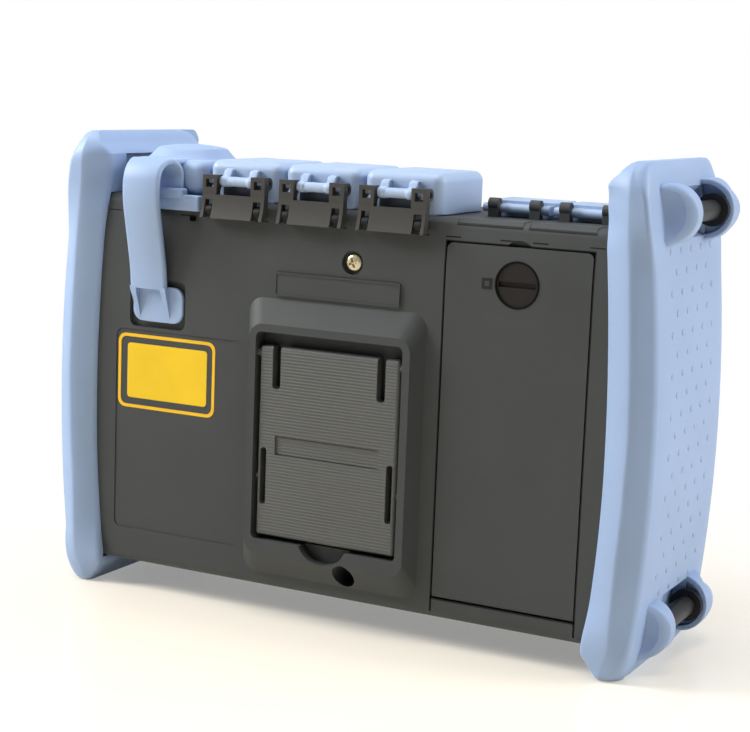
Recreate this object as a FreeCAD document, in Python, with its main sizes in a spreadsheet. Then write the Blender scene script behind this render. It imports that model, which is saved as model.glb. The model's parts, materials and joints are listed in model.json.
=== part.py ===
import FreeCAD, Part
import os
import re
import Sketcher
from FreeCAD import Vector

# A handheld optical time domain reflectometer, millimetres. +Z is up, -Y is the display side,
# +Y the rear with the stand and the battery cover, and the floor is z = 0.
# The sheet's x sizes are measured from the case's middle plane, which lies case_middle from
# the frame's origin, because the strap ears stand out on one end only.

SIZES = {
    # Case: two shells that meet at split_face.
    "case_middle": 2.6,
    "case_end": 101.5,
    "case_low": 9.0,
    "case_high": 136.5,
    "rear_face": 31.0,
    "front_face": -33.0,
    "split_face": -14.0,
    "wall": 2.5,
    "lean_start": 118.0,
    "lean_depth": 1.6,
    "rear_edge_radius": 3.5,
    "front_edge_radius": 6.0,
    "cut_over": 2.0,
    "fit_gap": 0.1,
    "seat_gap": 0.3,
    "pin_gap": 0.05,
    # Raised frame round the stand, and the stand's window.
    "frame_rise": 5.0,
    "frame_foot_low": 13.7,
    "frame_foot_high": 106.4,
    "frame_band": 2.6,
    "frame_slope": 3.0,
    "frame_crest_low": 21.5,
    "frame_crest_high": 98.3,
    "frame_corner": 5.0,
    "window_low": 26.5,
    "window_high": 95.7,
    "window_depth": 6.2,
    "window_corner": 2.0,
    "pull_scoop_radius": 9.4,
    "pull_scoop_rise": 5.4,
    "plate_half": 22.6,
    "plate_low": 107.4,
    "plate_high": 114.8,
    "plate_rise": 0.5,
    # Tilt stand.
    "stand_half": 25.6,
    "stand_side_gap": 1.1,
    "stand_low": 27.9,
    "stand_high": 91.1,
    "stand_drop": 1.0,
    "stand_thick": 3.4,
    "stand_corner": 1.2,
    "stand_pivot_inset": 1.7,
    "stand_pivot_below": 2.5,
    "stand_pin_radius": 1.3,
    "stand_pin_length": 2.0,
    "stand_slot_inset": 6.5,
    "stand_slot_half": 1.5,
    "stand_slot_length": 14.0,
    "side_slot_inset": 2.4,
    "side_slot_half": 1.1,
    "side_slot_low": 38.4,
    "side_slot_high": 57.4,
    "badge_half": 19.0,
    "badge_low": 55.3,
    "badge_high": 61.9,
    "badge_depth": 0.6,
    "stand_hollow_wall": 1.4,
    "stand_hollow_depth": 1.6,
    "snap_lug_z": 47.6,
    "snap_lug_reach": 0.7,
    # Battery bay, its cover and the coin lock.
    "cover_left": -85.9,
    "cover_right": -38.0,
    "cover_low": 16.2,
    "cover_high": 129.1,
    "cover_thick": 2.2,
    "cover_gap": 0.4,
    "cover_corner": 2.0,
    "cover_pin_radius": 0.9,
    "cover_pin_length": 1.5,
    "cover_pin_inset": 1.4,
    "cover_pin_rise": 1.7,
    "cover_lip_radius": 0.8,
    "bay_inset": 2.2,
    "bay_depth": 26.0,
    "bay_wall": 1.8,
    "bay_end_inset": 2.8,
    "lock_x": -61.9,
    "lock_z": 117.7,
    "lock_radius": 6.75,
    "lock_stem_radius": 3.0,
    "lock_recess": 0.6,
    "lock_slot_half": 0.9,
    "lock_slot_depth": 1.0,
    "tongue_length": 13.2,
    "tongue_half": 3.2,
    "tongue_thick": 1.8,
    "tongue_drop": 5.2,
    "cover_scoop_x": -62.0,
    "cover_scoop_radius": 5.4,
    "cover_scoop_rise": 2.1,
    "cover_scoop_depth": 2.2,
    "battery_gap": 0.5,
    "battery_high": 108.0,
    "slit_half": 0.35,
    "slit_low": 11.3,
    "slit_depth": 1.0,
    # Screws in the rear.
    "screw_x": -5.2,
    "screw_z": 120.0,
    "screw_head_radius": 2.9,
    "screw_head_thick": 1.5,
    "screw_shank_radius": 1.4,
    "screw_shank_length": 7.0,
    "screw_seat_radius": 3.8,
    "screw_seat_depth": 1.6,
    "deep_screw_x": -7.5,
    "deep_screw_z": 18.4,
    "deep_hole_radius": 3.9,
    "deep_hole_depth": 12.0,
    "boss_radius": 3.2,
    # Recesses of the rear face.
    "label_left": 34.8,
    "label_right": 85.3,
    "label_low": 21.2,
    "label_high": 90.8,
    "label_depth": 0.3,
    "strap_recess_left": 57.6,
    "strap_recess_right": 79.9,
    "strap_recess_low": 91.9,
    "strap_recess_high": 108.3,
    "strap_recess_depth": 1.5,
    "recess_corner": 2.5,
    # Optical ports, their covers and the double hinges.
    "port_first_x": 38.2,
    "port_pitch": 29.0,
    "port_y": 9.0,
    "port_hole_half": 7.3,
    "adapter_flange_half": 7.0,
    "adapter_flange_thick": 2.0,
    "adapter_body_half": 5.2,
    "adapter_foot": 118.0,
    "adapter_rise": 6.6,
    "adapter_bore_radius": 2.6,
    "adapter_bore_depth": 12.0,
    "adapter_ferrule_radius": 1.25,
    "lid_half": 12.3,
    "lid_rear": 27.0,
    "lid_front": -6.0,
    "lid_high": 147.2,
    "lid_crown": 0.9,
    "lid_wall": 1.6,
    "lid_corner": 1.6,
    "lid_bar_y": 30.6,
    "lid_bar_z": 143.0,
    "lid_bar_radius": 1.6,
    "lid_pin_radius": 1.0,
    "lid_pin_half": 11.0,
    "lid_lug_inset": 1.7,
    "lid_lug_half": 1.3,
    "lid_lug_thick": 1.3,
    "link_half": 11.8,
    "link_arm_inner": 6.5,
    "link_front": 31.2,
    "link_thick": 2.4,
    "link_flare": 1.7,
    "link_high": 145.0,
    "link_low": 131.0,
    "link_bridge_high": 138.6,
    "link_cheek": 1.4,
    "link_cheek_low": 139.6,
    "link_pivot_y": 32.5,
    "link_pivot_z": 133.4,
    "link_pin_radius": 1.0,
    "ear_half": 1.1,
    "ear_gap": 0.35,
    "ear_radius": 1.9,
    # Low covers of the electrical ports.
    "flap_first_x": -52.1,
    "flap_pitch": 24.0,
    "flap_half": 11.2,
    "flap_rear": 7.4,
    "flap_front": -12.6,
    "flap_high": 141.6,
    "flap_wall": 1.4,
    "flap_corner": 1.2,
    "flap_bar_y": 10.6,
    "flap_bar_z": 139.3,
    "flap_bar_radius": 1.4,
    "hook_inset": 4.2,
    "hook_half": 1.7,
    "hook_wall": 1.3,
    "jack_half": 7.0,
    "jack_rear": 2.5,
    "jack_front": -8.5,
    "jack_foot": 122.0,
    "jack_sink": 0.8,
    # Soft cap over the last port, with its strap and tab.
    "cap_left": 52.2,
    "cap_right": 84.0,
    "cap_rear": 32.4,
    "cap_front": -6.0,
    "cap_step": 137.0,
    "cap_high": 147.4,
    "cap_skirt": 132.3,
    "cap_corner": 2.0,
    "cap_disc_x": 69.5,
    "cap_disc_y": 11.0,
    "cap_disc_radius": 13.0,
    "cap_disc_rise": 2.6,
    "cap_plug_radius": 4.5,
    "cap_socket_radius": 6.5,
    "cap_socket_depth": 9.0,
    "strap_left": 64.0,
    "strap_right": 78.4,
    "strap_thick": 2.2,
    "strap_crest": 149.2,
    "strap_turn": 6.6,
    "strap_tab_y": 31.3,
    "strap_tab_high": 106.0,
    "strap_tab_low": 94.0,
    "strap_tab_left": 58.4,
    "strap_tab_right": 78.4,
    # Bumpers.
    "bumper_rear": 35.0,
    "bumper_front": -37.0,
    "bumper_high": 157.0,
    "bumper_foot_x": 94.5,
    "bumper_crown_x": 97.0,
    "bumper_corner_x": 102.5,
    "bumper_corner_radius": 5.0,
    "bumper_bulge_x": 108.75,
    "bumper_bulge_z": 76.0,
    "bumper_inner_end": 90.6,
    "bumper_inner_mid": 94.3,
    "bumper_roof": 148.2,
    "bumper_sill": 10.5,
    "bumper_edge_radius": 4.0,
    "bumper_pocket_x": 100.0,
    # Strap bars in the ears of one bumper.
    "bar_x": 107.4,
    "bar_high_z": 141.6,
    "bar_low_z": 14.2,
    "bar_radius": 3.2,
    "bar_rear": 19.0,
    "bar_front": -27.0,
    "collar_radius": 5.2,
    "collar_thick": 2.2,
    "strap_ear_x": 104.2,
    "strap_ear_radius": 9.8,
    "strap_ear_rear": 23.5,
    "strap_ear_rear_end": 8.0,
    "strap_ear_front": -30.0,
    "strap_ear_front_end": -16.0,
    "strap_gap_radius": 8.4,
    # Front: display, keys, knob.
    "view_left": -86.0,
    "view_right": 33.0,
    "view_low": 34.0,
    "view_high": 126.0,
    "view_ledge": 3.0,
    "window_thick": 1.5,
    "view_corner": 3.0,
    "panel_thick": 6.5,
    "soft_key_x": 43.5,
    "soft_key_low": 44.0,
    "soft_key_pitch": 18.0,
    "soft_key_half_x": 4.6,
    "soft_key_half_z": 4.2,
    "menu_key_first_x": -75.0,
    "menu_key_pitch": 29.0,
    "menu_key_z": 22.5,
    "menu_key_half_x": 8.5,
    "menu_key_half_z": 3.6,
    "power_key_x": 43.5,
    "run_key_first_x": 61.5,
    "run_key_pitch": 20.0,
    "run_key_half_x": 7.8,
    "back_key_z": 42.5,
    "back_key_half_x": 6.6,
    "key_rise": 1.4,
    "key_corner": 1.6,
    "key_edge": 0.5,
    "key_gap": 0.3,
    "key_flange": 1.0,
    "key_travel": 0.6,
    "pad_x": 71.5,
    "pad_z": 72.0,
    "pad_radius": 16.0,
    "pad_hole_radius": 7.2,
    "enter_radius": 6.8,
    "knob_z": 111.5,
    "knob_radius": 13.5,
    "knob_rise": 4.0,
    "knob_well_gap": 0.5,
    "knob_shaft_radius": 3.0,
    "encoder_half": 7.0,
    "board_thick": 1.6,
    "key_board_y": -22.4,
    "main_board_y": -10.0,
    "main_board_left": -33.0,
    "main_board_right": 90.0,
    "main_board_low": 13.0,
    "main_board_high": 131.0,
    "board_boss_inset": 4.5,
    "unit_left": -32.0,
    "unit_right": 56.0,
    "unit_low": 64.0,
    "unit_rear": 22.0,
    "light_x": 61.5,
    "light_z": 128.8,
    "light_radius": 1.6,
}

doc = FreeCAD.newDocument("otdr")
sizes = doc.addObject("Spreadsheet::Sheet", "Sizes")
for row, (alias, number) in enumerate(SIZES.items(), start=1):
    sizes.set(f"A{row}", alias.replace("_", " "))
    sizes.set(f"B{row}", str(number))
    sizes.setAlias(f"B{row}", alias)
doc.recompute()


# ---- Helpers: formulas, sketches and features ----

def formula(text):
    """Turns the size names in a formula into references to the sheet."""
    return re.sub(r"[a-z][a-z0-9_]*", r"Sizes.\g<0>", str(text))


def number(text):
    """Works out a formula of sizes now, for a sketch's first guess and for choosing edges."""
    return float(sizes.evalExpression(formula(text)))


def new_body(label):
    """Starts a sub-part; its Label names its file, and its place follows case_middle."""
    body = doc.addObject("PartDesign::Body", label)
    body.Label = label
    body.setExpression("Placement.Base.x", formula("case_middle"))
    return body


class Outline:
    """A sketch on one of a body's own planes, drawn in the plane's coordinates.

    Shapes and the rules that hold them are collected first and given to the sketch together."""

    def __init__(self, body, plane, height="0"):
        sketch = body.newObject("Sketcher::SketchObject", "Outline")
        origin = [each for each in body.Origin.OriginFeatures if each.Role == plane + "_Plane"]
        sketch.AttachmentSupport = (origin[0], [""])
        sketch.MapMode = "FlatFace"
        # The XZ plane's normal points along -Y.
        sign = "-1" if plane == "XZ" else "1"
        sketch.setExpression("AttachmentOffset.Base.z", f"{sign} * ({formula(height)})")
        self.sketch = sketch
        self.shapes = []
        self.rules = []
        self.formulas = []

    def add(self, shape, helper=False):
        self.shapes.append((shape, helper))
        return len(self.shapes) - 1

    def rule(self, kind, *what):
        self.rules.append(Sketcher.Constraint(kind, *what))

    def measure(self, kind, text, *what):
        """A rule with a size that follows a formula."""
        self.formulas.append((len(self.rules), text))
        self.rule(kind, *what, number(text))

    def hold(self, shape, point, across, up):
        """Holds one point at the coordinates that two formulas give."""
        self.measure("DistanceX", across, -1, 1, shape, point)
        self.measure("DistanceY", up, -1, 1, shape, point)

    def trace(self, start, *steps):
        """A closed outline. A step is a line's end, or an arc's middle and end as a pair."""
        steps = list(steps)
        last = steps[-1][1] if isinstance(steps[-1][0], tuple) else steps[-1]
        if last != start:
            steps.append(start)
        here = start
        joints = []
        for step in steps:
            middle, end = step if isinstance(step[0], tuple) else (None, step)
            if middle is None:
                joints.append((self.add(Part.LineSegment(at(here), at(end))), (1, 2), end))
            else:
                shape = self.add(Part.Arc(at(here), at(middle), at(end)))
                # A sketch counts an arc's ends anticlockwise.
                forward = (at(middle) - at(here)).cross(at(end) - at(here)).z > 0
                mark = self.add(Part.Point(at(middle)), True)
                self.rule("PointOnObject", mark, 1, shape)
                self.hold(mark, 1, *middle)
                joints.append((shape, (1, 2) if forward else (2, 1), end))
            here = end
        for index, (shape, ends, end) in enumerate(joints):
            after, after_ends, _ = joints[(index + 1) % len(joints)]
            self.rule("Coincident", shape, ends[1], after, after_ends[0])
            self.hold(shape, ends[1], *end)
        return self

    def rectangle(self, left, right, low, high):
        return self.trace((left, low), (right, low), (right, high), (left, high))

    def rounded(self, left, right, low, high, radius):
        """A rectangle with rounded corners: arcs through the middle of each quarter turn."""
        near = f"{QUARTER} * ({radius})"
        return self.trace(
            (f"{left} + {radius}", low),
            (f"{right} - {radius}", low),
            ((f"{right} - {near}", f"{low} + {near}"), (right, f"{low} + {radius}")),
            (right, f"{high} - {radius}"),
            ((f"{right} - {near}", f"{high} - {near}"), (f"{right} - {radius}", high)),
            (f"{left} + {radius}", high),
            ((f"{left} + {near}", f"{high} - {near}"), (left, f"{high} - {radius}")),
            (left, f"{low} + {radius}"),
            ((f"{left} + {near}", f"{low} + {near}"), (f"{left} + {radius}", low)),
        )

    def circle(self, across, up, radius):
        shape = self.add(Part.Circle(at((across, up)), Vector(0, 0, 1), number(radius)))
        self.hold(shape, 3, across, up)
        self.measure("Radius", radius, shape)
        return self

    def settle(self):
        """Gives the sketch its shapes and rules, and binds the rules' sizes to the sheet."""
        for shape, helper in self.shapes:
            self.sketch.addGeometry(shape, helper)
        self.sketch.addConstraint(self.rules)
        for index, text in self.formulas:
            self.sketch.setExpression(f"Constraints[{index}]", formula(text))
        return self.sketch


# An arc of a quarter turn passes this share of its radius inside the corner.
QUARTER = "0.292893"
# The middle of that arc lies this share of the radius from its centre, across and up.
SLANT = "0.707107"


def at(point):
    return Vector(number(point[0]), number(point[1]), 0)


def extrude(body, kind, drawing, length, reverse, middle):
    before = body.Tip.Shape.Volume if body.Tip else 0.0
    sketch = drawing.settle()
    feature = body.newObject("PartDesign::" + kind, kind)
    feature.Profile = sketch
    feature.setExpression("Length", formula(length))
    feature.Reversed = reverse
    if middle:
        feature.Midplane = True
    doc.recompute([feature], True)
    changed = abs(feature.Shape.Volume - before)
    assert changed > 1e-4, f"{body.Label}: {feature.Name} changes nothing"
    return feature


def pad(body, drawing, length, reverse=False, middle=False):
    """Adds material along the sketch's normal."""
    return extrude(body, "Pad", drawing, length, reverse, middle)


def cut(body, drawing, length, reverse=False, middle=False):
    """Takes material away against the sketch's normal."""
    return extrude(body, "Pocket", drawing, length, reverse, middle)


def block(body, across, depth, height, corner=None):
    """Adds a block: across and height are (low, high), depth is (rear, front) along Y."""
    sketch = Outline(body, "XZ", depth[0])
    if corner is None:
        sketch.rectangle(*across, *height)
    else:
        sketch.rounded(*across, *height, corner)
    return pad(body, sketch, f"({depth[0]}) - ({depth[1]})")


def hollow(body, across, depth, height, corner=None):
    """Cuts a block out, from the rear coordinate to the front one."""
    sketch = Outline(body, "XZ", depth[0])
    if corner is None:
        sketch.rectangle(*across, *height)
    else:
        sketch.rounded(*across, *height, corner)
    return cut(body, sketch, f"({depth[0]}) - ({depth[1]})", reverse=True)


def peg(body, across, height, radius, depth):
    """Adds a round post along Y."""
    sketch = Outline(body, "XZ", depth[0])
    sketch.circle(across, height, radius)
    return pad(body, sketch, f"({depth[0]}) - ({depth[1]})")


def bore(body, across, height, radius, depth):
    """Cuts a round hole along Y."""
    sketch = Outline(body, "XZ", depth[0])
    sketch.circle(across, height, radius)
    return cut(body, sketch, f"({depth[0]}) - ({depth[1]})", reverse=True)


def axle(body, depth, height, radius, across):
    """Adds a round bar along X, between two x coordinates."""
    sketch = Outline(body, "YZ", across[0])
    sketch.circle(depth, height, radius)
    return pad(body, sketch, f"({across[1]}) - ({across[0]})")


def cross_bore(body, depth, height, radius, across):
    """Cuts a round hole along X, between two x coordinates."""
    sketch = Outline(body, "YZ", across[0])
    sketch.circle(depth, height, radius)
    return cut(body, sketch, f"({across[1]}) - ({across[0]})", reverse=True)


def edges_at(shape, direction, *places):
    """Names of straight edges along a direction that pass through one of the given places.

    A place gives the coordinates that matter, with None for the others."""
    names = []
    for index, edge in enumerate(shape.Edges, start=1):
        if len(edge.Vertexes) != 2:
            continue
        first, last = (vertex.Point for vertex in edge.Vertexes)
        along = last - first
        if along.Length < 1e-6 or abs(along.normalize().dot(direction)) < 0.9999:
            continue
        centre = (first + last) * 0.5
        for place in places:
            if all(want is None or abs(number(want) - got) < 0.02
                   for want, got in zip(place, centre)):
                names.append(f"Edge{index}")
                break
    return names


ALONG_X = Vector(1, 0, 0)
ALONG_Y = Vector(0, 1, 0)
ALONG_Z = Vector(0, 0, 1)


def soften(body, names, radius):
    """Rounds the named edges of the body's last feature."""
    tip = body.Tip
    assert names, f"{body.Label}: no edge to round"
    feature = body.newObject("PartDesign::Fillet", "Fillet")
    feature.Base = (tip, names)
    feature.setExpression("Radius", formula(radius))
    doc.recompute()
    return feature


def face_edges(shape, axis, place):
    """Names of the edges that lie in the plane where one coordinate has the given value."""
    level = number(place)
    names = []
    for index, edge in enumerate(shape.Edges, start=1):
        box = edge.BoundBox
        low, high = ((box.XMin, box.XMax), (box.YMin, box.YMax), (box.ZMin, box.ZMax))[axis]
        if abs(low - level) < 0.01 and abs(high - level) < 0.01:
            names.append(f"Edge{index}")
    return names


# ---- Sizes that several parts share ----

STAND_FACE = "rear_face + frame_rise - stand_drop"
WINDOW_HALF = "(stand_half + stand_side_gap)"
CREST_HALF = f"({WINDOW_HALF} + frame_band)"
FOOT_HALF = f"({CREST_HALF} + frame_slope)"
STAND_PIVOT_Y = f"{STAND_FACE} - stand_pivot_inset"
STAND_PIVOT_Z = "stand_high - stand_pivot_below"
COVER_PIVOT_Y = "rear_face - cover_pin_inset"
COVER_PIVOT_Z = "cover_low + cover_pin_rise"
BAY_FLOOR = "rear_face - bay_depth"
PORTS = {name: f"port_first_x - {index} * port_pitch" for index, name in enumerate("abc")}
FLAPS = {name: f"flap_first_x - {index} * flap_pitch" for index, name in enumerate("ab")}
EAR_OFFSET = "(link_half + link_arm_inner) / 2"


def lean_face(height, inset="0"):
    """The rear face's y at a height above lean_start, where it curves forward, moved in by inset."""
    share = f"((({height}) - lean_start) / (case_high - lean_start))"
    return f"rear_face - lean_depth * {share} * {share} - ({inset})"


def leaning(height, inset="0"):
    """The arc of the rear face from lean_start up to a height, as an outline's step."""
    middle = f"(lean_start + {height}) / 2"
    return (lean_face(middle, inset), middle), (lean_face(height, inset), height)


def rear_outline(sketch, split, inset):
    """The rear shell's section, open at the split face, moved in on every side by inset."""
    sketch.trace(
        (split, f"case_low + ({inset})"),
        (f"rear_face - ({inset})", f"case_low + ({inset})"),
        (f"rear_face - ({inset})", "lean_start"),
        leaning(f"case_high - ({inset})", inset),
        (split, f"case_high - ({inset})"),
    )


# ---- Rear case ----

def rear_case():
    body = new_body("rear_case")
    section = Outline(body, "YZ")
    rear_outline(section, "split_face", "0")
    solid = pad(body, section, "2 * case_end", middle=True)
    edges = edges_at(
        solid.Shape, ALONG_X,
        (None, "rear_face", "case_low"),
        (None, "rear_face - lean_depth", "case_high"),
    )
    soften(body, edges, "rear_edge_radius")
    cavity = Outline(body, "YZ")
    rear_outline(cavity, "split_face - cut_over", "wall")
    cut(body, cavity, "2 * (case_end - wall)", middle=True)
    battery_bay(body)
    stand_frame(body)
    # Posts that carry the main board, and the tube of the deep screw.
    posts = Outline(body, "XZ", "rear_face - wall + seat_gap")
    for across in ("main_board_left + board_boss_inset", "main_board_right - board_boss_inset"):
        for height in ("main_board_low + board_boss_inset", "main_board_high - board_boss_inset"):
            posts.circle(across, height, "boss_radius")
    pad(body, posts, "rear_face - wall + seat_gap - (main_board_y + board_thick) - fit_gap")
    peg(body, "deep_screw_x", "deep_screw_z", "deep_hole_radius + wall / 2",
        ("rear_face - wall / 2", "rear_face - deep_hole_depth - wall"))
    bore(body, "deep_screw_x", "deep_screw_z", "deep_hole_radius",
         ("rear_face + frame_rise", "rear_face - deep_hole_depth"))
    bore(body, "screw_x", "screw_z", "screw_seat_radius",
         ("rear_face + cut_over", "rear_face - screw_seat_depth"))
    bore(body, "screw_x", "screw_z", "screw_shank_radius + fit_gap",
         ("rear_face", "rear_face - wall - cut_over"))
    # Shallow recesses for the label and for the strap's tab.
    hollow(body, ("label_left", "label_right"), ("rear_face + cut_over", "rear_face - label_depth"),
           ("label_low", "label_high"), "recess_corner")
    hollow(body, ("strap_recess_left", "strap_recess_right"),
           ("rear_face + cut_over", "rear_face - strap_recess_depth"),
           ("strap_recess_low", "strap_recess_high"), "recess_corner")
    port_openings(body)
    return body


def battery_bay(body):
    """A walled bay behind the cover, the seat round its mouth, and the holes for its pins."""
    left, right = "cover_left - cover_gap", "cover_right + cover_gap"
    low, high = "cover_low - cover_gap", "cover_high + cover_gap"
    block(body, (f"{left} - bay_wall", f"{right} + bay_wall"),
          ("rear_face - wall + seat_gap", f"{BAY_FLOOR} - bay_wall"),
          (f"{low} - bay_wall", f"case_high - wall / 2"))
    seat = Outline(body, "YZ", left)
    seat.trace(
        ("rear_face + cut_over", low),
        ("rear_face - cover_thick - fit_gap", low),
        ("rear_face - cover_thick - fit_gap", "lean_start"),
        leaning(high, "cover_thick + fit_gap"),
        ("rear_face + cut_over", high),
    )
    cut(body, seat, f"({right}) - ({left})", reverse=True)
    hollow(body, (f"{left} + bay_inset", f"{right} - bay_inset"), ("rear_face", BAY_FLOOR),
           (f"{low} + bay_end_inset", f"{high} - bay_end_inset"))
    # The slot behind the wall that the lock's tongue turns into.
    hollow(body, ("lock_x - tongue_length", "lock_x + tongue_half + seat_gap"),
           ("rear_face - tongue_drop + seat_gap", "rear_face - tongue_drop - tongue_thick - seat_gap"),
           ("lock_z", "lock_z + tongue_length + seat_gap"))
    # A round groove lets the cover's foot turn, and two holes beside it take its pins.
    cross_bore(body, COVER_PIVOT_Y, COVER_PIVOT_Z, "cover_pin_rise + cover_gap", (left, right))
    cross_bore(body, COVER_PIVOT_Y, COVER_PIVOT_Z, "cover_pin_radius + pin_gap",
               (f"{left} - cover_pin_length", f"{right} + cover_pin_length"))
    bore(body, "cover_scoop_x", "cover_high + cover_scoop_rise - cover_scoop_radius",
         "cover_scoop_radius", ("rear_face + cut_over", "rear_face - cover_scoop_depth"))
    slits = Outline(body, "XZ", "rear_face + cut_over")
    for edge in (left, right):
        slits.rectangle(f"{edge} - slit_half", f"{edge} + slit_half", "slit_low", "cover_low")
    cut(body, slits, "cut_over + slit_depth", reverse=True)


def stand_frame(body):
    """The raised frame with drafted sides, the stand's window, its pin holes and pull scoop."""
    foot = Outline(body, "XZ", "rear_face - fit_gap")
    foot.rounded(f"-1 * {FOOT_HALF}", FOOT_HALF, "frame_foot_low", "frame_foot_high",
                 "frame_corner")
    crest = Outline(body, "XZ", "rear_face + frame_rise")
    crest.rounded(f"-1 * {CREST_HALF}", CREST_HALF, "frame_crest_low", "frame_crest_high",
                  "frame_corner")
    loft = body.newObject("PartDesign::AdditiveLoft", "Frame")
    loft.Profile = foot.settle()
    loft.Sections = [crest.settle()]
    loft.Ruled = True
    doc.recompute()
    face = "rear_face + frame_rise"
    hollow(body, (f"-1 * {WINDOW_HALF}", WINDOW_HALF),
           (f"{face} + cut_over", f"{face} - window_depth"),
           ("window_low", "window_high"), "window_corner")
    cross_bore(body, STAND_PIVOT_Y, STAND_PIVOT_Z, "stand_pin_radius + pin_gap",
               (f"-1 * {WINDOW_HALF} - stand_pin_length", f"{WINDOW_HALF} + stand_pin_length"))
    bore(body, "0", "window_low - pull_scoop_rise + pull_scoop_radius", "pull_scoop_radius",
         (f"{face} + cut_over", "rear_face + seat_gap"))
    block(body, ("-1 * plate_half", "plate_half"), ("rear_face + plate_rise", "rear_face - fit_gap"),
          ("plate_low", "plate_high"), "plate_rise")


def port_openings(body):
    """Openings in the top wall, the ears of the double hinges and the hooks of the low covers."""
    holes = Outline(body, "XY", "case_high + cut_over")
    for centre in PORTS.values():
        holes.rectangle(f"{centre} - port_hole_half", f"{centre} + port_hole_half",
                  "port_y - port_hole_half", "port_y + port_hole_half")
    for centre in FLAPS.values():
        holes.rectangle(f"{centre} - jack_half - seat_gap", f"{centre} + jack_half + seat_gap",
                  "jack_front - seat_gap", "jack_rear + seat_gap")
    holes.circle("cap_disc_x", "cap_disc_y", "cap_socket_radius")
    cut(body, holes, "cut_over + wall + cut_over")
    for centre in PORTS.values():
        for side in ("-1", "1"):
            ear = Outline(body, "YZ", f"{centre} + {side} * ({EAR_OFFSET})")
            root = f"{lean_face('link_pivot_z')} - fit_gap - wall / 2"
            ear.trace(
                (root, "link_pivot_z - ear_radius"),
                ("link_pivot_y", "link_pivot_z - ear_radius"),
                (("link_pivot_y + ear_radius", "link_pivot_z"),
                 ("link_pivot_y", "link_pivot_z + ear_radius")),
                (root, "link_pivot_z + ear_radius"),
            )
            pad(body, ear, "2 * ear_half", middle=True)
    cross_bore(body, "link_pivot_y", "link_pivot_z", "link_pin_radius + pin_gap",
               ("-1 * case_end", "case_end"))
    for centre in FLAPS.values():
        for side in ("-1", "1"):
            hook = Outline(body, "YZ", f"{centre} + {side} * (flap_half - hook_inset)")
            reach = "flap_bar_radius + hook_wall"
            hook.trace(
                (f"flap_bar_y - {reach}", "case_high - fit_gap"),
                (f"flap_bar_y + {reach}", "case_high - fit_gap"),
                (f"flap_bar_y + {reach}", "flap_bar_z"),
                (("flap_bar_y", f"flap_bar_z + {reach}"), (f"flap_bar_y - {reach}", "flap_bar_z")),
            )
            pad(body, hook, "2 * hook_half", middle=True)
    cross_bore(body, "flap_bar_y", "flap_bar_z", "flap_bar_radius + pin_gap",
               ("-1 * case_end", "0"))


# ---- Front case ----

def key_list():
    """Each key's name, centre, half width and half height."""
    keys = {}
    for index in range(5):
        keys[f"soft_key_{index + 1}"] = (
            "soft_key_x", f"soft_key_low + {index} * soft_key_pitch",
            "soft_key_half_x", "soft_key_half_z")
    for index in range(4):
        keys[f"menu_key_{index + 1}"] = (
            f"menu_key_first_x + {index} * menu_key_pitch", "menu_key_z",
            "menu_key_half_x", "menu_key_half_z")
    for index, name in enumerate(("average_key", "real_time_key")):
        keys[name] = (f"run_key_first_x + {index} * run_key_pitch", "menu_key_z",
                      "run_key_half_x", "menu_key_half_z")
    for index, name in enumerate(("escape_key", "scale_key")):
        keys[name] = (f"run_key_first_x + {index} * run_key_pitch", "back_key_z",
                      "back_key_half_x", "menu_key_half_z")
    keys["power_key"] = ("power_key_x", "menu_key_z", "soft_key_half_x", "menu_key_half_z")
    return keys


def front_case():
    body = new_body("front_case")
    section = Outline(body, "YZ")
    section.trace(("split_face - fit_gap", "case_low"), ("split_face - fit_gap", "case_high"),
            ("front_face", "case_high"), ("front_face", "case_low"))
    solid = pad(body, section, "2 * case_end", middle=True)
    edges = edges_at(solid.Shape, ALONG_X, (None, "front_face", "case_low"),
                     (None, "front_face", "case_high"))
    soften(body, edges, "front_edge_radius")
    cavity = Outline(body, "YZ")
    cavity.trace(("split_face + cut_over", "case_low + wall"),
            ("split_face + cut_over", "case_high - wall"),
            ("front_face + wall", "case_high - wall"), ("front_face + wall", "case_low + wall"))
    cut(body, cavity, "2 * (case_end - wall)", middle=True)
    # The display's opening, with a ledge that the window is glued to.
    hollow(body, ("view_left", "view_right"),
           ("front_face + window_thick + fit_gap", "front_face - cut_over"),
           ("view_low", "view_high"), "view_corner")
    hollow(body, ("view_left + view_ledge", "view_right - view_ledge"),
           ("front_face + wall + cut_over", "front_face"),
           ("view_low + view_ledge", "view_high - view_ledge"), "view_corner")
    # The keys' openings, the pad's ring and the knob's well.
    through = ("front_face + wall + cut_over", "front_face - cut_over")
    for across, height, half_x, half_z in key_list().values():
        hollow(body, (f"{across} - {half_x} - key_gap", f"{across} + {half_x} + key_gap"), through,
               (f"{height} - {half_z} - key_gap", f"{height} + {half_z} + key_gap"), "key_corner")
    bore(body, "pad_x", "pad_z", "pad_radius + key_gap", through)
    bore(body, "pad_x", "knob_z", "knob_shaft_radius + pin_gap", through)
    for across in ("light_x", "light_x + run_key_pitch"):
        bore(body, across, "light_z", "light_radius + pin_gap", through)
    # Posts that carry the key board.
    posts = Outline(body, "XZ", "key_board_y - fit_gap")
    for across, height in BOARD_POSTS:
        posts.circle(across, height, "boss_radius")
    pad(body, posts, "key_board_y - fit_gap - (front_face + wall / 2)")
    return body


BOARD_POSTS = (
    ("main_board_right - boss_radius", "main_board_high - board_boss_inset"),
    ("main_board_right - board_boss_inset", "(menu_key_z + back_key_z) / 2"),
    ("view_right + 2 * boss_radius", "main_board_high - board_boss_inset"),
    ("view_left - boss_radius", "case_low + wall + board_boss_inset"),
)


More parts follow.
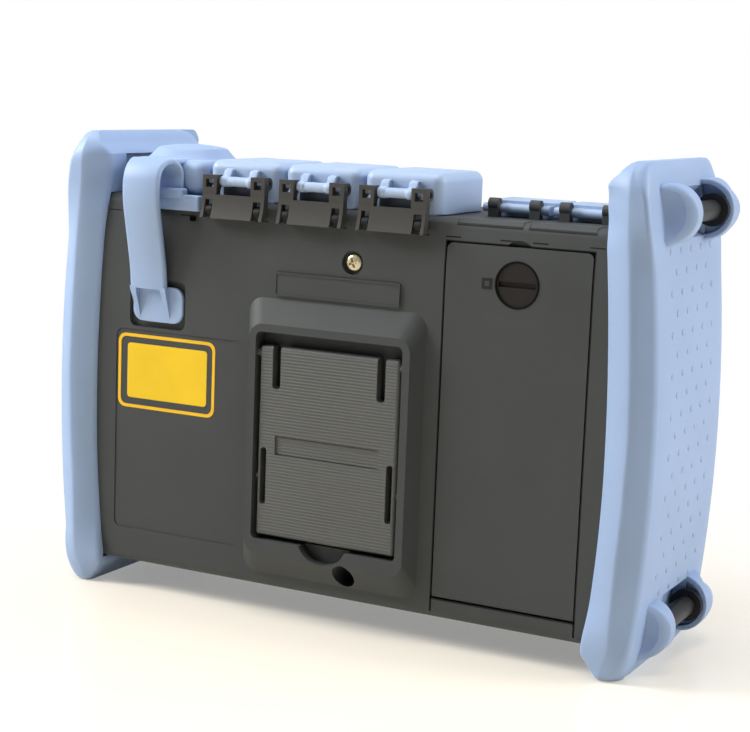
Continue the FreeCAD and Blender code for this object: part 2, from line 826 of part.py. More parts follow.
def build_key(label, across, height, half_x, half_z):
    """A key: its cap stands out of the case, its flange keeps it in, its stem meets the board."""
    body = new_body(label)
    inner = "front_face + wall + key_travel * 0.25"
    block(body, (f"{across} - {half_x}", f"{across} + {half_x}"),
          (inner, "front_face - key_rise"),
          (f"{height} - {half_z}", f"{height} + {half_z}"), "key_corner")
    soften(body, face_edges(body.Tip.Shape, 1, "front_face - key_rise"), "key_edge")
    block(body, (f"{across} - {half_x} - key_flange", f"{across} + {half_x} + key_flange"),
          (f"{inner} + key_flange", inner),
          (f"{height} - {half_z} - key_flange", f"{height} + {half_z} + key_flange"), "key_corner")
    peg(body, across, height, "key_corner", ("key_board_y - key_travel - fit_gap", inner))
    return body


def build_pad():
    """The ring of arrow keys and the enter key in its middle."""
    inner = "front_face + wall + key_travel * 0.25"
    ring = new_body("arrow_pad")
    peg(ring, "pad_x", "pad_z", "pad_radius", (inner, "front_face - key_rise"))
    soften(ring, face_edges(ring.Tip.Shape, 1, "front_face - key_rise"), "key_edge")
    peg(ring, "pad_x", "pad_z", "pad_radius + key_flange", (f"{inner} + key_flange", inner))
    feet = Outline(ring, "XZ", "key_board_y - key_travel - fit_gap")
    reach = "(pad_radius + pad_hole_radius) / 2"
    for turn_x, turn_z in (("1", "0"), ("-1", "0"), ("0", "1"), ("0", "-1")):
        feet.circle(f"pad_x + {turn_x} * {reach}", f"pad_z + {turn_z} * {reach}", "key_corner")
    pad(ring, feet, f"key_board_y - key_travel - fit_gap - ({inner})")
    bore(ring, "pad_x", "pad_z", "pad_hole_radius", (f"{inner} + 2 * key_flange", "front_face - cut_over"))
    enter = new_body("enter_key")
    peg(enter, "pad_x", "pad_z", "enter_radius", (inner, "front_face - key_rise"))
    soften(enter, face_edges(enter.Tip.Shape, 1, "front_face - key_rise"), "key_edge")
    peg(enter, "pad_x", "pad_z", "key_corner", ("key_board_y - key_travel - fit_gap", inner))


def build_knob():
    """The rotary knob on its encoder's shaft, with a dished face and a grip of notches."""
    knob = new_body("rotary_knob")
    face = "front_face - knob_rise"
    peg(knob, "pad_x", "knob_z", "knob_radius", ("front_face - knob_well_gap", face))
    soften(knob, face_edges(knob.Tip.Shape, 1, face), "key_edge * 2")
    peg(knob, "pad_x", "knob_z", "knob_shaft_radius",
        ("key_board_y + board_thick + encoder_half * 0.8", "front_face - knob_well_gap"))
    bore(knob, "pad_x + knob_radius * 0.6", "knob_z", "knob_radius * 0.22",
         (f"{face} + key_edge", f"{face} - cut_over"))
    notch = Outline(knob, "XZ", "front_face - knob_well_gap")
    notch.circle("pad_x", "knob_z + knob_radius + key_edge * 0.6", "key_edge * 1.8")
    groove = cut(knob, notch, "knob_rise", reverse=True)
    ring = knob.newObject("PartDesign::PolarPattern", "Grip")
    ring.Originals = [groove]
    ring.Axis = (notch.sketch, ["N_Axis"])
    ring.Angle = 360
    ring.Occurrences = 12
    return knob


def build_front_parts():
    window = new_body("display_window")
    block(window, ("view_left + fit_gap", "view_right - fit_gap"),
          ("front_face + window_thick", "front_face"),
          ("view_low + fit_gap", "view_high - fit_gap"), "view_corner")
    panel = new_body("display_panel")
    block(panel, ("view_left", "view_right"),
          ("front_face + wall + fit_gap + panel_thick", "front_face + wall + fit_gap"),
          ("view_low", "view_high"), "recess_corner")
    board = new_body("key_board")
    rear, front = "key_board_y + board_thick", "key_board_y"
    block(board, ("view_right + fit_gap + view_ledge - boss_radius", "main_board_right"),
          (rear, front), ("main_board_low", "main_board_high"))
    block(board, ("view_left - 2 * boss_radius", "view_right + 2 * view_ledge"), (rear, front),
          ("main_board_low", "view_low - view_ledge"))
    bore(board, "pad_x", "knob_z", "knob_shaft_radius + seat_gap",
         (f"{rear} + cut_over", f"{front} - cut_over"))
    encoder = new_body("knob_encoder")
    block(encoder, ("pad_x - encoder_half", "pad_x + encoder_half"),
          (f"{rear} + encoder_half", f"{rear} + fit_gap"),
          ("knob_z - encoder_half", "knob_z + encoder_half"), "key_edge")
    bore(encoder, "pad_x", "knob_z", "knob_shaft_radius + pin_gap",
         (f"{rear} + encoder_half + cut_over", f"{rear} - cut_over"))
    lights = new_body("status_lights")
    for across in ("light_x", "light_x + run_key_pitch"):
        one = Outline(lights, "XZ", "key_board_y - fit_gap")
        one.circle(across, "light_z", "light_radius")
        pad(lights, one, "key_board_y - fit_gap - (front_face - key_edge)")


def build_inner_parts():
    board = new_body("main_board")
    rear, front = "main_board_y + board_thick", "main_board_y"
    block(board, ("main_board_left", "main_board_right"), (rear, front),
          ("main_board_low", "main_board_high"), "recess_corner")
    unit = new_body("optical_unit")
    block(unit, ("unit_left", "unit_right"), ("unit_rear", f"{rear} + fit_gap"),
          ("unit_low", "adapter_foot - fit_gap"), "recess_corner")
    lid_rim = Outline(unit, "XZ", "unit_rear")
    lid_rim.rounded("unit_left + view_ledge", "unit_right - view_ledge", "unit_low + view_ledge",
                    "adapter_foot - fit_gap - view_ledge", "recess_corner")
    cut(unit, lid_rim, "badge_depth", reverse=True)
    battery = new_body("battery_pack")
    left, right = "cover_left - cover_gap + bay_inset", "cover_right + cover_gap - bay_inset"
    low = "cover_low - cover_gap + bay_end_inset"
    block(battery, (f"{left} + battery_gap", f"{right} - battery_gap"),
          ("rear_face - tongue_drop - tongue_thick - battery_gap", f"{BAY_FLOOR} + fit_gap"),
          (f"{low} + battery_gap", "battery_high"), "recess_corner")


def build_adapter(name, centre):
    """A fibre adapter: its body stands on the optical unit, its flange fills the case's opening."""
    body = new_body(f"port_adapter_{name}")
    top = "case_high + adapter_rise"
    lower = Outline(body, "XY", "adapter_foot")
    lower.rounded(f"{centre} - adapter_body_half", f"{centre} + adapter_body_half",
                  "port_y - adapter_body_half", "port_y + adapter_body_half", "key_edge")
    pad(body, lower, f"{top} - adapter_foot")
    flange = Outline(body, "XY", "case_high - adapter_flange_thick")
    flange.rounded(f"{centre} - adapter_flange_half", f"{centre} + adapter_flange_half",
                   "port_y - adapter_flange_half", "port_y + adapter_flange_half", "key_corner")
    pad(body, flange, "adapter_flange_thick")
    mouth = Outline(body, "XY", top)
    mouth.circle(centre, "port_y", "adapter_bore_radius + key_corner")
    cut(body, mouth, "adapter_bore_depth")
    ferrule = Outline(body, "XY", f"{top} - adapter_bore_depth - key_edge")
    ferrule.circle(centre, "port_y", "adapter_bore_radius")
    ferrule.circle(centre, "port_y", "adapter_ferrule_radius")
    pad(body, ferrule, "adapter_bore_depth - adapter_rise * 0.2")


def build_lid(name, centre):
    """A port's cover: a crowned box, open below, with a hinge bar on two lugs at the rear."""
    body = new_body(f"port_cover_{name}")
    foot = "case_high + fit_gap"
    side = Outline(body, "YZ", centre)
    side.trace(
        ("lid_front", foot),
        ("lid_rear", foot),
        ("lid_rear", "lid_high - lid_crown"),
        (("(lid_rear + lid_front) / 2", "lid_high"), ("lid_front", "lid_high - lid_crown")),
    )
    solid = pad(body, side, "2 * lid_half", middle=True)
    corners = [(f"{centre} + {sign} * lid_half", depth, None)
               for sign in ("1", "-1") for depth in ("lid_rear", "lid_front")]
    soften(body, edges_at(solid.Shape, ALONG_Z, *corners), "lid_corner")
    crown = [f"Edge{index}" for index, edge in enumerate(body.Tip.Shape.Edges, start=1)
             if edge.BoundBox.ZMin > number("lid_high - lid_crown - lid_corner")]
    soften(body, crown, "lid_corner * 0.6")
    inside = Outline(body, "XY", foot)
    inside.rectangle(f"{centre} - lid_half + lid_wall", f"{centre} + lid_half - lid_wall",
                     "lid_front + lid_wall", "lid_rear - lid_wall")
    cut(body, inside, "lid_high - lid_crown - lid_wall - case_high", reverse=True)
    for sign in ("-1", "1"):
        lug = Outline(body, "YZ", f"{centre} + {sign} * (link_arm_inner - lid_lug_inset)")
        lug.rectangle("lid_rear - lid_wall / 2", "lid_bar_y", "lid_bar_z - lid_lug_thick",
                      "lid_bar_z + lid_lug_thick")
        pad(body, lug, "2 * lid_lug_half", middle=True)
    reach = "link_arm_inner - seat_gap"
    axle(body, "lid_bar_y", "lid_bar_z", "lid_bar_radius",
         (f"{centre} - ({reach})", f"{centre} + ({reach})"))
    axle(body, "lid_bar_y", "lid_bar_z", "lid_pin_radius",
         (f"{centre} - lid_pin_half", f"{centre} + lid_pin_half"))


def build_link(name, centre):
    """A double hinge's link: two flared arms joined by a bridge, pinned to case and cover."""
    body = new_body(f"hinge_link_{name}")
    rear = "link_front + link_thick"
    side = Outline(body, "YZ", centre)
    bend = "(link_bridge_high + link_low) / 2"
    side.trace(
        ("link_front", "link_high"),
        ("link_front", "link_bridge_high"),
        (("link_front + link_flare * 0.15", bend), ("link_front + link_flare * 0.6", "link_low")),
        (f"{rear} + link_flare", "link_low"),
        ((f"{rear} + link_flare * 0.35", bend), (rear, "link_bridge_high")),
        (rear, "link_high"),
    )
    pad(body, side, "2 * link_half", middle=True)
    for sign in ("-1", "1"):
        for low, high in (("link_arm_inner", "link_arm_inner + link_cheek"),
                          ("link_half - link_cheek", "link_half")):
            cheek = Outline(body, "YZ", f"{centre} + {sign} * ({low} + {high}) / 2")
            cheek.trace(
                (rear, "link_cheek_low"),
                (rear, "link_high"),
                ("lid_bar_y", "lid_bar_z + link_high - lid_bar_z"),
                (("lid_bar_y - (link_high - lid_bar_z)", "lid_bar_z"),
                 ("lid_bar_y", "lid_bar_z - (link_high - lid_bar_z)")),
                ("link_front", "link_cheek_low"),
            )
            pad(body, cheek, f"{high} - ({low})", middle=True)
    over = (f"{rear} + link_flare + cut_over", "lid_rear")
    hollow(body, (f"{centre} - link_arm_inner", f"{centre} + link_arm_inner"), over,
           ("link_bridge_high", "link_high + cut_over"))
    slot_in = "ear_half + ear_gap"
    for sign in ("-1", "1"):
        middle = f"{centre} + {sign} * ({EAR_OFFSET})"
        hollow(body, (f"{middle} - ({slot_in})", f"{middle} + ({slot_in})"), over,
               ("link_low - cut_over", "link_pivot_z + ear_radius + ear_gap + link_cheek"))
        hollow(body, (f"{middle} - ({slot_in})", f"{middle} + ({slot_in})"), over,
               ("link_cheek_low + link_cheek", "link_high - link_cheek"))
        axle(body, "link_pivot_y", "link_pivot_z", "link_pin_radius",
             (f"{middle} - ({slot_in}) - pin_gap", f"{middle} + ({slot_in}) + pin_gap"))
    cross_bore(body, "lid_bar_y", "lid_bar_z", "lid_pin_radius + pin_gap",
               (f"{centre} - link_half - cut_over", f"{centre} + link_half + cut_over"))


def build_flap(name, centre):
    """A low cover over an electrical port: a shallow lid with a hinge bar between its hooks."""
    body = new_body(f"jack_cover_{name}")
    foot = "case_high + fit_gap"
    block(body, (f"{centre} - flap_half", f"{centre} + flap_half"), ("flap_rear", "flap_front"),
          (foot, "flap_high"), "key_edge")
    front = edges_at(body.Tip.Shape, ALONG_X, (None, "flap_front", "flap_high"))
    soften(body, front, "flap_corner")
    inside = Outline(body, "XY", foot)
    inside.rounded(f"{centre} - flap_half + flap_wall", f"{centre} + flap_half - flap_wall",
                   "flap_front + flap_wall", "flap_rear - flap_wall", "key_edge")
    cut(body, inside, "flap_high - flap_wall - case_high - fit_gap", reverse=True)
    hook_in = "flap_half - hook_inset - hook_half - seat_gap"
    hook_out = "flap_half - hook_inset + hook_half + seat_gap"
    for low, high in ((f"-1 * ({hook_in})", hook_in), (hook_out, "flap_half"),
                      ("-1 * flap_half", f"-1 * ({hook_out})")):
        lug = Outline(body, "YZ", f"{centre} + {low}")
        lug.rectangle("flap_rear - flap_wall / 2", "flap_bar_y", "flap_bar_z - flap_bar_radius",
                      "flap_bar_z + flap_bar_radius")
        pad(body, lug, f"{high} - ({low})")
    axle(body, "flap_bar_y", "flap_bar_z", "flap_bar_radius",
         (f"{centre} - flap_half", f"{centre} + flap_half"))


def build_jack(name, centre):
    """A socket under a low cover: a metal shell with its tongue."""
    body = new_body(f"jack_{name}")
    top = "case_high - jack_sink"
    shell = Outline(body, "XY", "jack_foot")
    shell.rounded(f"{centre} - jack_half", f"{centre} + jack_half", "jack_front", "jack_rear", "key_edge")
    pad(body, shell, f"{top} - jack_foot")
    mouth = Outline(body, "XY", top)
    mouth.rectangle(f"{centre} - jack_half + key_edge", f"{centre} + jack_half - key_edge",
                    "jack_front + key_edge", "jack_rear - key_edge")
    cut(body, mouth, f"({top} - jack_foot) * 0.8")
    tongue = Outline(body, "XY", f"{top} - ({top} - jack_foot) * 0.8")
    tongue.rectangle(f"{centre} - jack_half * 0.7", f"{centre} + jack_half * 0.7",
                     "jack_rear - key_edge * 6", "jack_rear - key_edge * 3")
    pad(body, tongue, f"({top} - jack_foot) * 0.7")


def build_stand():
    """The tilt stand: a plate on two side pins, slotted at its corners, hollow behind."""
    body = new_body("tilt_stand")
    rear, front = STAND_FACE, f"{STAND_FACE} - stand_thick"
    plate = block(body, ("-1 * stand_half", "stand_half"), (rear, front),
                  ("stand_low", "stand_high"), "stand_corner")
    soften(body, edges_at(plate.Shape, ALONG_X, (None, rear, "stand_high")), "stand_corner")
    hollow(body, ("-1 * badge_half", "badge_half"), (f"{rear} + cut_over", f"{rear} - badge_depth"),
           ("badge_low", "badge_high"), "badge_depth")
    through = (f"{rear} + cut_over", f"{front} - cut_over")
    for sign in ("-1", "1"):
        middle = f"{sign} * (stand_half - stand_slot_inset)"
        hollow(body, (f"{middle} - stand_slot_half", f"{middle} + stand_slot_half"), through,
               ("stand_high - stand_slot_length", "stand_high + cut_over"), "stand_slot_half * 0.9")
        middle = f"{sign} * (stand_half - side_slot_inset)"
        hollow(body, (f"{middle} - side_slot_half", f"{middle} + side_slot_half"), through,
               ("side_slot_low", "side_slot_high"), "side_slot_half * 0.9")
        lug = f"{sign} * stand_half"
        peg(body, lug, "snap_lug_z", "snap_lug_reach", (f"{rear} - snap_lug_reach", front))
    inner = "stand_half - stand_slot_inset - stand_slot_half - stand_hollow_wall"
    hollow(body, (f"-1 * ({inner})", inner), (f"{front} + stand_hollow_depth", f"{front} - cut_over"),
           ("stand_low + stand_hollow_wall * 2", "stand_high - stand_slot_length - stand_hollow_wall"),
           "stand_corner")
    axle(body, STAND_PIVOT_Y, STAND_PIVOT_Z, "stand_pin_radius",
         (f"-1 * ({WINDOW_HALF} + stand_pin_length - pin_gap)", "-1 * stand_half + stand_corner"))
    axle(body, STAND_PIVOT_Y, STAND_PIVOT_Z, "stand_pin_radius",
         ("stand_half - stand_corner", f"{WINDOW_HALF} + stand_pin_length - pin_gap"))


def build_battery_cover():
    """The battery cover follows the rear face's curve and turns on two pins at its foot."""
    body = new_body("battery_cover")
    side = Outline(body, "YZ", "cover_left")
    side.trace(
        ("rear_face - cover_thick", "cover_low"),
        ("rear_face", "cover_low"),
        ("rear_face", "lean_start"),
        leaning("cover_high"),
        (lean_face("cover_high", "cover_thick"), "cover_high"),
        (leaning("cover_high", "cover_thick")[0], ("rear_face - cover_thick", "lean_start")),
    )
    solid = pad(body, side, "cover_right - cover_left")
    soften(body, edges_at(solid.Shape, ALONG_X, (None, "rear_face", "cover_low")), "cover_lip_radius")
    corners = [("cover_left", None, "cover_high"), ("cover_right", None, "cover_high")]
    soften(body, edges_at(body.Tip.Shape, ALONG_Y, *corners), "cover_corner")
    bore(body, "lock_x", "lock_z", "lock_radius + pin_gap",
         ("rear_face + cut_over", "rear_face - cover_thick * 0.7"))
    bore(body, "lock_x", "lock_z", "lock_stem_radius + pin_gap",
         ("rear_face", "rear_face - cover_thick - cut_over"))
    for low, high in (("cover_left - cover_gap - cover_pin_length + seat_gap", "cover_left + wall"),
                      ("cover_right - wall", "cover_right + cover_gap + cover_pin_length - seat_gap")):
        axle(body, COVER_PIVOT_Y, COVER_PIVOT_Z, "cover_pin_radius", (low, high))


def build_lock():
    """The coin lock: a slotted disc, a stem through the cover and a tongue behind it."""
    body = new_body("coin_lock")
    face = "rear_face - lock_recess * 0.5"
    under = "rear_face - cover_thick * 0.7 + pin_gap"
    peg(body, "lock_x", "lock_z", "lock_radius", (face, under))
    slot = Outline(body, "XZ", f"{face} + cut_over")
    slot.rectangle("lock_x - lock_radius * 0.92", "lock_x + lock_radius * 0.92",
                   "lock_z - lock_slot_half", "lock_z + lock_slot_half")
    cut(body, slot, "cut_over + lock_slot_depth", reverse=True)
    rear, front = "rear_face - tongue_drop", "rear_face - tongue_drop - tongue_thick"
    peg(body, "lock_x", "lock_z", "lock_stem_radius", (under, rear))
    block(body, ("lock_x - tongue_length", "lock_x + tongue_half"), (rear, front),
          ("lock_z - tongue_half", "lock_z + tongue_half"), "tongue_half * 0.9")


def build_screws():
    body = new_body("case_screws")
    head = "rear_face - screw_seat_depth + pin_gap"
    peg(body, "screw_x", "screw_z", "screw_head_radius", (f"{head} + screw_head_thick", head))
    soften(body, face_edges(body.Tip.Shape, 1, f"{head} + screw_head_thick"), "key_edge * 1.4")
    peg(body, "screw_x", "screw_z", "screw_shank_radius", (head, f"{head} - screw_shank_length"))
    deep = new_body("deep_screw")
    low = "rear_face - deep_hole_depth + pin_gap"
    peg(deep, "deep_screw_x", "deep_screw_z", "screw_head_radius", (f"{low} + wall", low))


def build_cap():
    """The soft cap over the end port and, beside it, its strap that ends in a tab."""
    body = new_body("port_cap")
    foot = "case_high + seat_gap"
    block(body, ("cap_left", "cap_right"), ("cap_rear", "cap_front"), (foot, "cap_high"), "cap_corner")
    soften(body, face_edges(body.Tip.Shape, 1, "cap_rear"), "cap_corner * 0.9")
    disc = Outline(body, "XY", "cap_high - fit_gap")
    disc.circle("cap_disc_x", "cap_disc_y", "cap_disc_radius")
    pad(body, disc, "cap_disc_rise + fit_gap")
    soften(body, face_edges(body.Tip.Shape, 2, "cap_high + cap_disc_rise"), "cap_corner")
    skirt = Outline(body, "XZ", "cap_rear")
    skirt.rectangle("cap_left + cap_corner", "cap_right - cap_corner", "cap_skirt", f"{foot} + seat_gap")
    pad(body, skirt, f"cap_rear - (rear_face + seat_gap)")
    block(body, ("strap_left", "strap_right"), ("cap_rear", "cap_disc_y"),
          ("cap_high - fit_gap", "strap_crest"), "key_edge")
    plug = Outline(body, "XY", foot)
    plug.circle("cap_disc_x", "cap_disc_y", "cap_plug_radius")
    pad(body, plug, "cap_socket_depth * 0.5", reverse=True)


def build_strap():
    """The strap turns over behind the cap and runs down to the tab in its recess."""
    body = new_body("cap_strap")
    side = Outline(body, "YZ", "strap_left")
    start, level = "cap_rear + seat_gap", "strap_crest - strap_turn"
    inner = "(strap_turn - strap_thick)"
    side.trace(
        (start, "strap_crest - strap_thick"),
        ((f"{start} + {SLANT} * {inner}", f"{level} + {SLANT} * {inner}"),
         (f"{start} + {inner}", level)),
        ("strap_tab_y", "strap_tab_high"),
        ("strap_tab_y + strap_thick", "strap_tab_high"),
        (f"{start} + strap_turn", level),
        ((f"{start} + {SLANT} * strap_turn", f"{level} + {SLANT} * strap_turn"),
         (start, "strap_crest")),
    )
    pad(body, side, "strap_right - strap_left")
    block(body, ("strap_tab_left", "strap_tab_right"),
          ("strap_tab_y + strap_thick", "rear_face - strap_recess_depth + seat_gap"),
          ("strap_tab_low", "strap_tab_high + fit_gap"), "key_corner")


def case_clearance(sketch, gap):
    """The section of both shells together, grown by a gap."""
    sketch.trace(
        (f"front_face - ({gap})", f"case_low - ({gap})"),
        (f"rear_face + ({gap})", f"case_low - ({gap})"),
        (f"rear_face + ({gap})", "lean_start"),
        leaning("case_high", f"-1 * ({gap})"),
        (lean_face("case_high", f"-1 * ({gap})"), f"case_high + ({gap})"),
        (f"front_face - ({gap})", f"case_high + ({gap})"),
    )


def build_bumper(label, side):
    """An end bumper: bowed inside and out, wrapped over the case's end."""
    body = new_body(label)
    face = Outline(body, "XZ", "bumper_rear")

    def across(text):
        return f"{side} * ({text})"

    middle = "bumper_bulge_z"
    face.trace(
        (across("bumper_foot_x"), "0"),
        (across("bumper_corner_x"), "0"),
        ((across("bumper_bulge_x"), middle), (across("bumper_corner_x"), "bumper_high")),
        (across("bumper_crown_x"), "bumper_high"),
        (across("bumper_inner_end"), "bumper_roof"),
        ((across("bumper_inner_mid"), middle), (across("bumper_inner_end"), "bumper_sill")),
    )
    solid = pad(body, face, "bumper_rear - bumper_front")
    corner = across("bumper_corner_x")
    soften(body, edges_at(solid.Shape, ALONG_Y, (corner, None, "0"), (corner, None, "bumper_high")),
           "bumper_corner_radius")
    outer = [f"Edge{index}" for index, edge in enumerate(body.Tip.Shape.Edges, start=1)
             if edge.Curve.TypeId == "Part::GeomCircle"
             and side_of(edge) * float(side) > number("bumper_foot_x")]
    soften(body, outer, "bumper_edge_radius")
    if side == "-1":
        strap_ears(body)
    pocket = Outline(body, "YZ", across("bumper_inner_end - cut_over"))
    case_clearance(pocket, "fit_gap")
    cut(body, pocket, "case_end + fit_gap - bumper_inner_end + cut_over", reverse=side == "1")
    gap = Outline(body, "YZ", across("bumper_inner_end - cut_over"))
    gap.rectangle("front_face", "rear_face - wall", "case_high - fit_gap", "bumper_roof")
    cut(body, gap, "bumper_pocket_x - bumper_inner_end + cut_over", reverse=side == "1")
    return body


def side_of(edge):
    """The x coordinate of an edge's middle."""
    return edge.valueAt((edge.FirstParameter + edge.LastParameter) / 2).x


def strap_ears(body):
    """Two pairs of round ears for the strap bars, with room for the strap behind each bar."""
    for height in ("bar_high_z", "bar_low_z"):
        for rear, front in (("strap_ear_rear", "strap_ear_rear_end"),
                            ("strap_ear_front_end", "strap_ear_front")):
            peg(body, "-1 * strap_ear_x", height, "strap_ear_radius", (rear, front))
        bore(body, "-1 * bar_x", height, "strap_gap_radius",
             ("strap_ear_rear_end", "strap_ear_front_end"))
        bore(body, "-1 * bar_x", height, "bar_radius + pin_gap",
             ("bar_rear", "bar_front"))


def build_bar(label, height):
    body = new_body(label)
    peg(body, "-1 * bar_x", height, "bar_radius", ("bar_rear - fit_gap", "bar_front + fit_gap"))
    peg(body, "-1 * bar_x", height, "collar_radius",
        ("strap_ear_front_end + collar_thick + fit_gap", "strap_ear_front_end + fit_gap"))


# ---- Run ----

rear_case()
front_case()
for name, numbers in key_list().items():
    build_key(name, *numbers)
build_pad()
build_knob()
build_front_parts()
build_inner_parts()
for name, centre in PORTS.items():
    build_adapter(name, centre)
    build_lid(name, centre)
    build_link(name, centre)
for name, centre in FLAPS.items():
    build_flap(name, centre)
    build_jack(name, centre)
build_stand()
build_battery_cover()
build_lock()
build_screws()
build_cap()
build_strap()
build_bumper("bumper_left", "1")
build_bumper("bumper_right", "-1")
build_bar("strap_bar_upper", "bar_high_z")
build_bar("strap_bar_lower", "bar_low_z")

doc.recompute()
faults = []
for each in doc.Objects:
    if "Invalid" in each.State or "Error" in each.State:
        faults.append(f"{each.Label} {each.State}")
bodies = [each for each in doc.Objects if each.TypeId == "PartDesign::Body"]
for each in bodies:
    if each.Shape.isNull() or not each.Shape.isValid():
        faults.append(each.Label)
assert not faults, faults
os.makedirs("parts", exist_ok=True)
for each in bodies:
    each.Shape.exportStep(os.path.join("parts", each.Label + ".step"))
    print(each.Label, len(each.Shape.Solids), round(each.Shape.Volume))
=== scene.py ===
# %% [markdown]
# A handheld optical time domain reflectometer stands on the undersides of its two end bumpers,
# with its rear turned to us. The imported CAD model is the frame: every rigid piece comes from it
# and only gets a finish here. The soft pieces are modelled anew, as surfaces worked out with
# numpy, and films and small marks are laid on the case. The frame is in metres. The new shapes
# are written in millimetres round the case's middle plane, and make_object turns them to metres.

# %% Load the frame
import json
import math
from functools import partial
from types import SimpleNamespace

import bmesh
import bpy
import numpy as np
from mathutils import Matrix, Vector


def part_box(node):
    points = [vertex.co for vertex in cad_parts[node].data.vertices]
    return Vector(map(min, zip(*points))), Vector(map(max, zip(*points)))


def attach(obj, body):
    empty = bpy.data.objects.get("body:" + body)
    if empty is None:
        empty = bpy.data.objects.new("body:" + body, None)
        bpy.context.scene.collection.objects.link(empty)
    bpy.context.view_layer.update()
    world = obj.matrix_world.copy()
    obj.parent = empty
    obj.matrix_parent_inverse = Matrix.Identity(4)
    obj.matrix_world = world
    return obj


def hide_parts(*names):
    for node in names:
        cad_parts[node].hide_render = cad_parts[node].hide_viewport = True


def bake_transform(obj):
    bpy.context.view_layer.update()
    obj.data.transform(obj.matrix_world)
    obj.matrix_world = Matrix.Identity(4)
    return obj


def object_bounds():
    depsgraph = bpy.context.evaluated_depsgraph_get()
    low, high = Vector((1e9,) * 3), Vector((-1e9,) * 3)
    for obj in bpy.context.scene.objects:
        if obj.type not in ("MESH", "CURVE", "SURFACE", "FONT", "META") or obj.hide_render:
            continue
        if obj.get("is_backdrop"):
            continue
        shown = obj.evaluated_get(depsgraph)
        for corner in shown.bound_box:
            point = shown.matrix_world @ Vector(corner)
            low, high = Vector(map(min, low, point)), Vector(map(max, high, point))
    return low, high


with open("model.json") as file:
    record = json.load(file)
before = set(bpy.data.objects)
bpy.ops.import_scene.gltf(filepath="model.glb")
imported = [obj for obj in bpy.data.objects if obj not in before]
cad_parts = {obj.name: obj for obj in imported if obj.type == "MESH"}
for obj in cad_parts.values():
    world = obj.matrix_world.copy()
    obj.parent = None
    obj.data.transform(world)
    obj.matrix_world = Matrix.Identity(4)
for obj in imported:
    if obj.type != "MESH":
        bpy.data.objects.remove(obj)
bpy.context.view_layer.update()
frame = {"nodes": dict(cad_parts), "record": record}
nodes = frame["nodes"]
MM = 0.001
MIDDLE = 2.6  # the case's middle plane in the frame's x, in mm

# %% [markdown]
# The camera looks at the rear from the lower-numbered x side, a little from above, with a long
# lens and a slight roll. A camera's own axes are the columns of its matrix: right, up and back.

# %% Camera
CAMERA_PLACE = (-270.22, 527.40, 176.67)


def camera_axes(azimuth, elevation, roll):
    """Right, up and back vectors of a camera that circles the z axis and then rolls."""
    a, e, r = (math.radians(v) for v in (azimuth, elevation, roll))
    back = np.array([math.sin(a) * math.cos(e), -math.cos(a) * math.cos(e), math.sin(e)])
    level = np.cross(-back, (0.0, 0.0, 1.0))
    level /= np.linalg.norm(level)
    upright = np.cross(level, -back)
    right = math.cos(r) * level + math.sin(r) * upright
    up = math.cos(r) * upright - math.sin(r) * level
    return right, up, back


camera_data = bpy.data.cameras.new("camera")
camera_data.lens = 85.5
camera_data.sensor_width = 36.0
camera_data.clip_end = 20.0
camera = bpy.data.objects.new("camera", camera_data)
bpy.context.scene.collection.objects.link(camera)
axes = [tuple(axis) for axis in camera_axes(207.240, 9.030, 2.202)]
matrix = Matrix(axes).transposed().to_4x4()
matrix.translation = Vector((CAMERA_PLACE[0] + MIDDLE, *CAMERA_PLACE[1:])) * MM
camera.matrix_world = matrix
bpy.context.scene.camera = camera
print("camera at", [round(v, 3) for v in camera.location])

# %% [markdown]
# Grids carry every new surface: an array of points with rows and columns becomes a mesh whose
# faces join each point to its neighbours. Every row is a closed ring. A cap closes an open end
# with one flat face, and closing the rows joins the last ring to the first.

# %% Grid helpers


def grid_faces(rows, columns, close_rows):
    """Corner numbers of the quads of a rows by columns grid, as one array."""
    i = np.arange(rows if close_rows else rows - 1)
    j = np.arange(columns)
    i, j = np.meshgrid(i, j, indexing="ij")
    i2, j2 = (i + 1) % rows, (j + 1) % columns
    quads = np.stack([i * columns + j, i * columns + j2, i2 * columns + j2, i2 * columns + j], -1)
    return quads.reshape(-1, 4)


def make_object(name, points, faces):
    """A mesh object at the origin from points in millimetres round the case's middle."""
    points = np.asarray(points, float).reshape(-1, 3) + np.array([MIDDLE, 0.0, 0.0])
    mesh = bpy.data.meshes.new(name)
    mesh.from_pydata((points * MM).tolist(), [], faces)
    mesh.validate()
    mesh.update()
    made = bpy.data.objects.new(name, mesh)
    bpy.context.scene.collection.objects.link(made)
    return made


def grid_object(name, grid, capped=True, close_rows=False):
    """A mesh from a grid of points (rows, columns, 3), its first and last rings capped or not."""
    rows, columns = grid.shape[:2]
    faces = grid_faces(rows, columns, close_rows).tolist()
    if capped:
        first = list(range(columns))
        last = [number + (rows - 1) * columns for number in first]
        faces += [first[::-1], last]
    return make_object(name, grid, faces)


# %% [markdown]
# Three more helpers finish a piece. The first merges doubled points and turns the faces outwards,
# the second shades the piece smoothly, and the third gives it a material and the body it rides on.

# %% Piece helpers


def outward(obj):
    """Turns a closed mesh's faces outwards after doubles are merged."""
    work = bmesh.new()
    work.from_mesh(obj.data)
    bmesh.ops.remove_doubles(work, verts=work.verts, dist=1e-6)
    bmesh.ops.recalc_face_normals(work, faces=work.faces)
    work.to_mesh(obj.data)
    work.free()
    return obj


def smooth(obj, degrees):
    """Smooth shading, apart from edges sharper than the angle."""
    mesh = obj.data
    mesh.polygons.foreach_set("use_smooth", np.ones(len(mesh.polygons), bool))
    mesh.set_sharp_from_angle(angle=math.radians(degrees))
    return obj


def dress(piece, material, body):
    """Gives a piece its material and the body it rides on."""
    piece.data.materials.append(material)
    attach(piece, body)


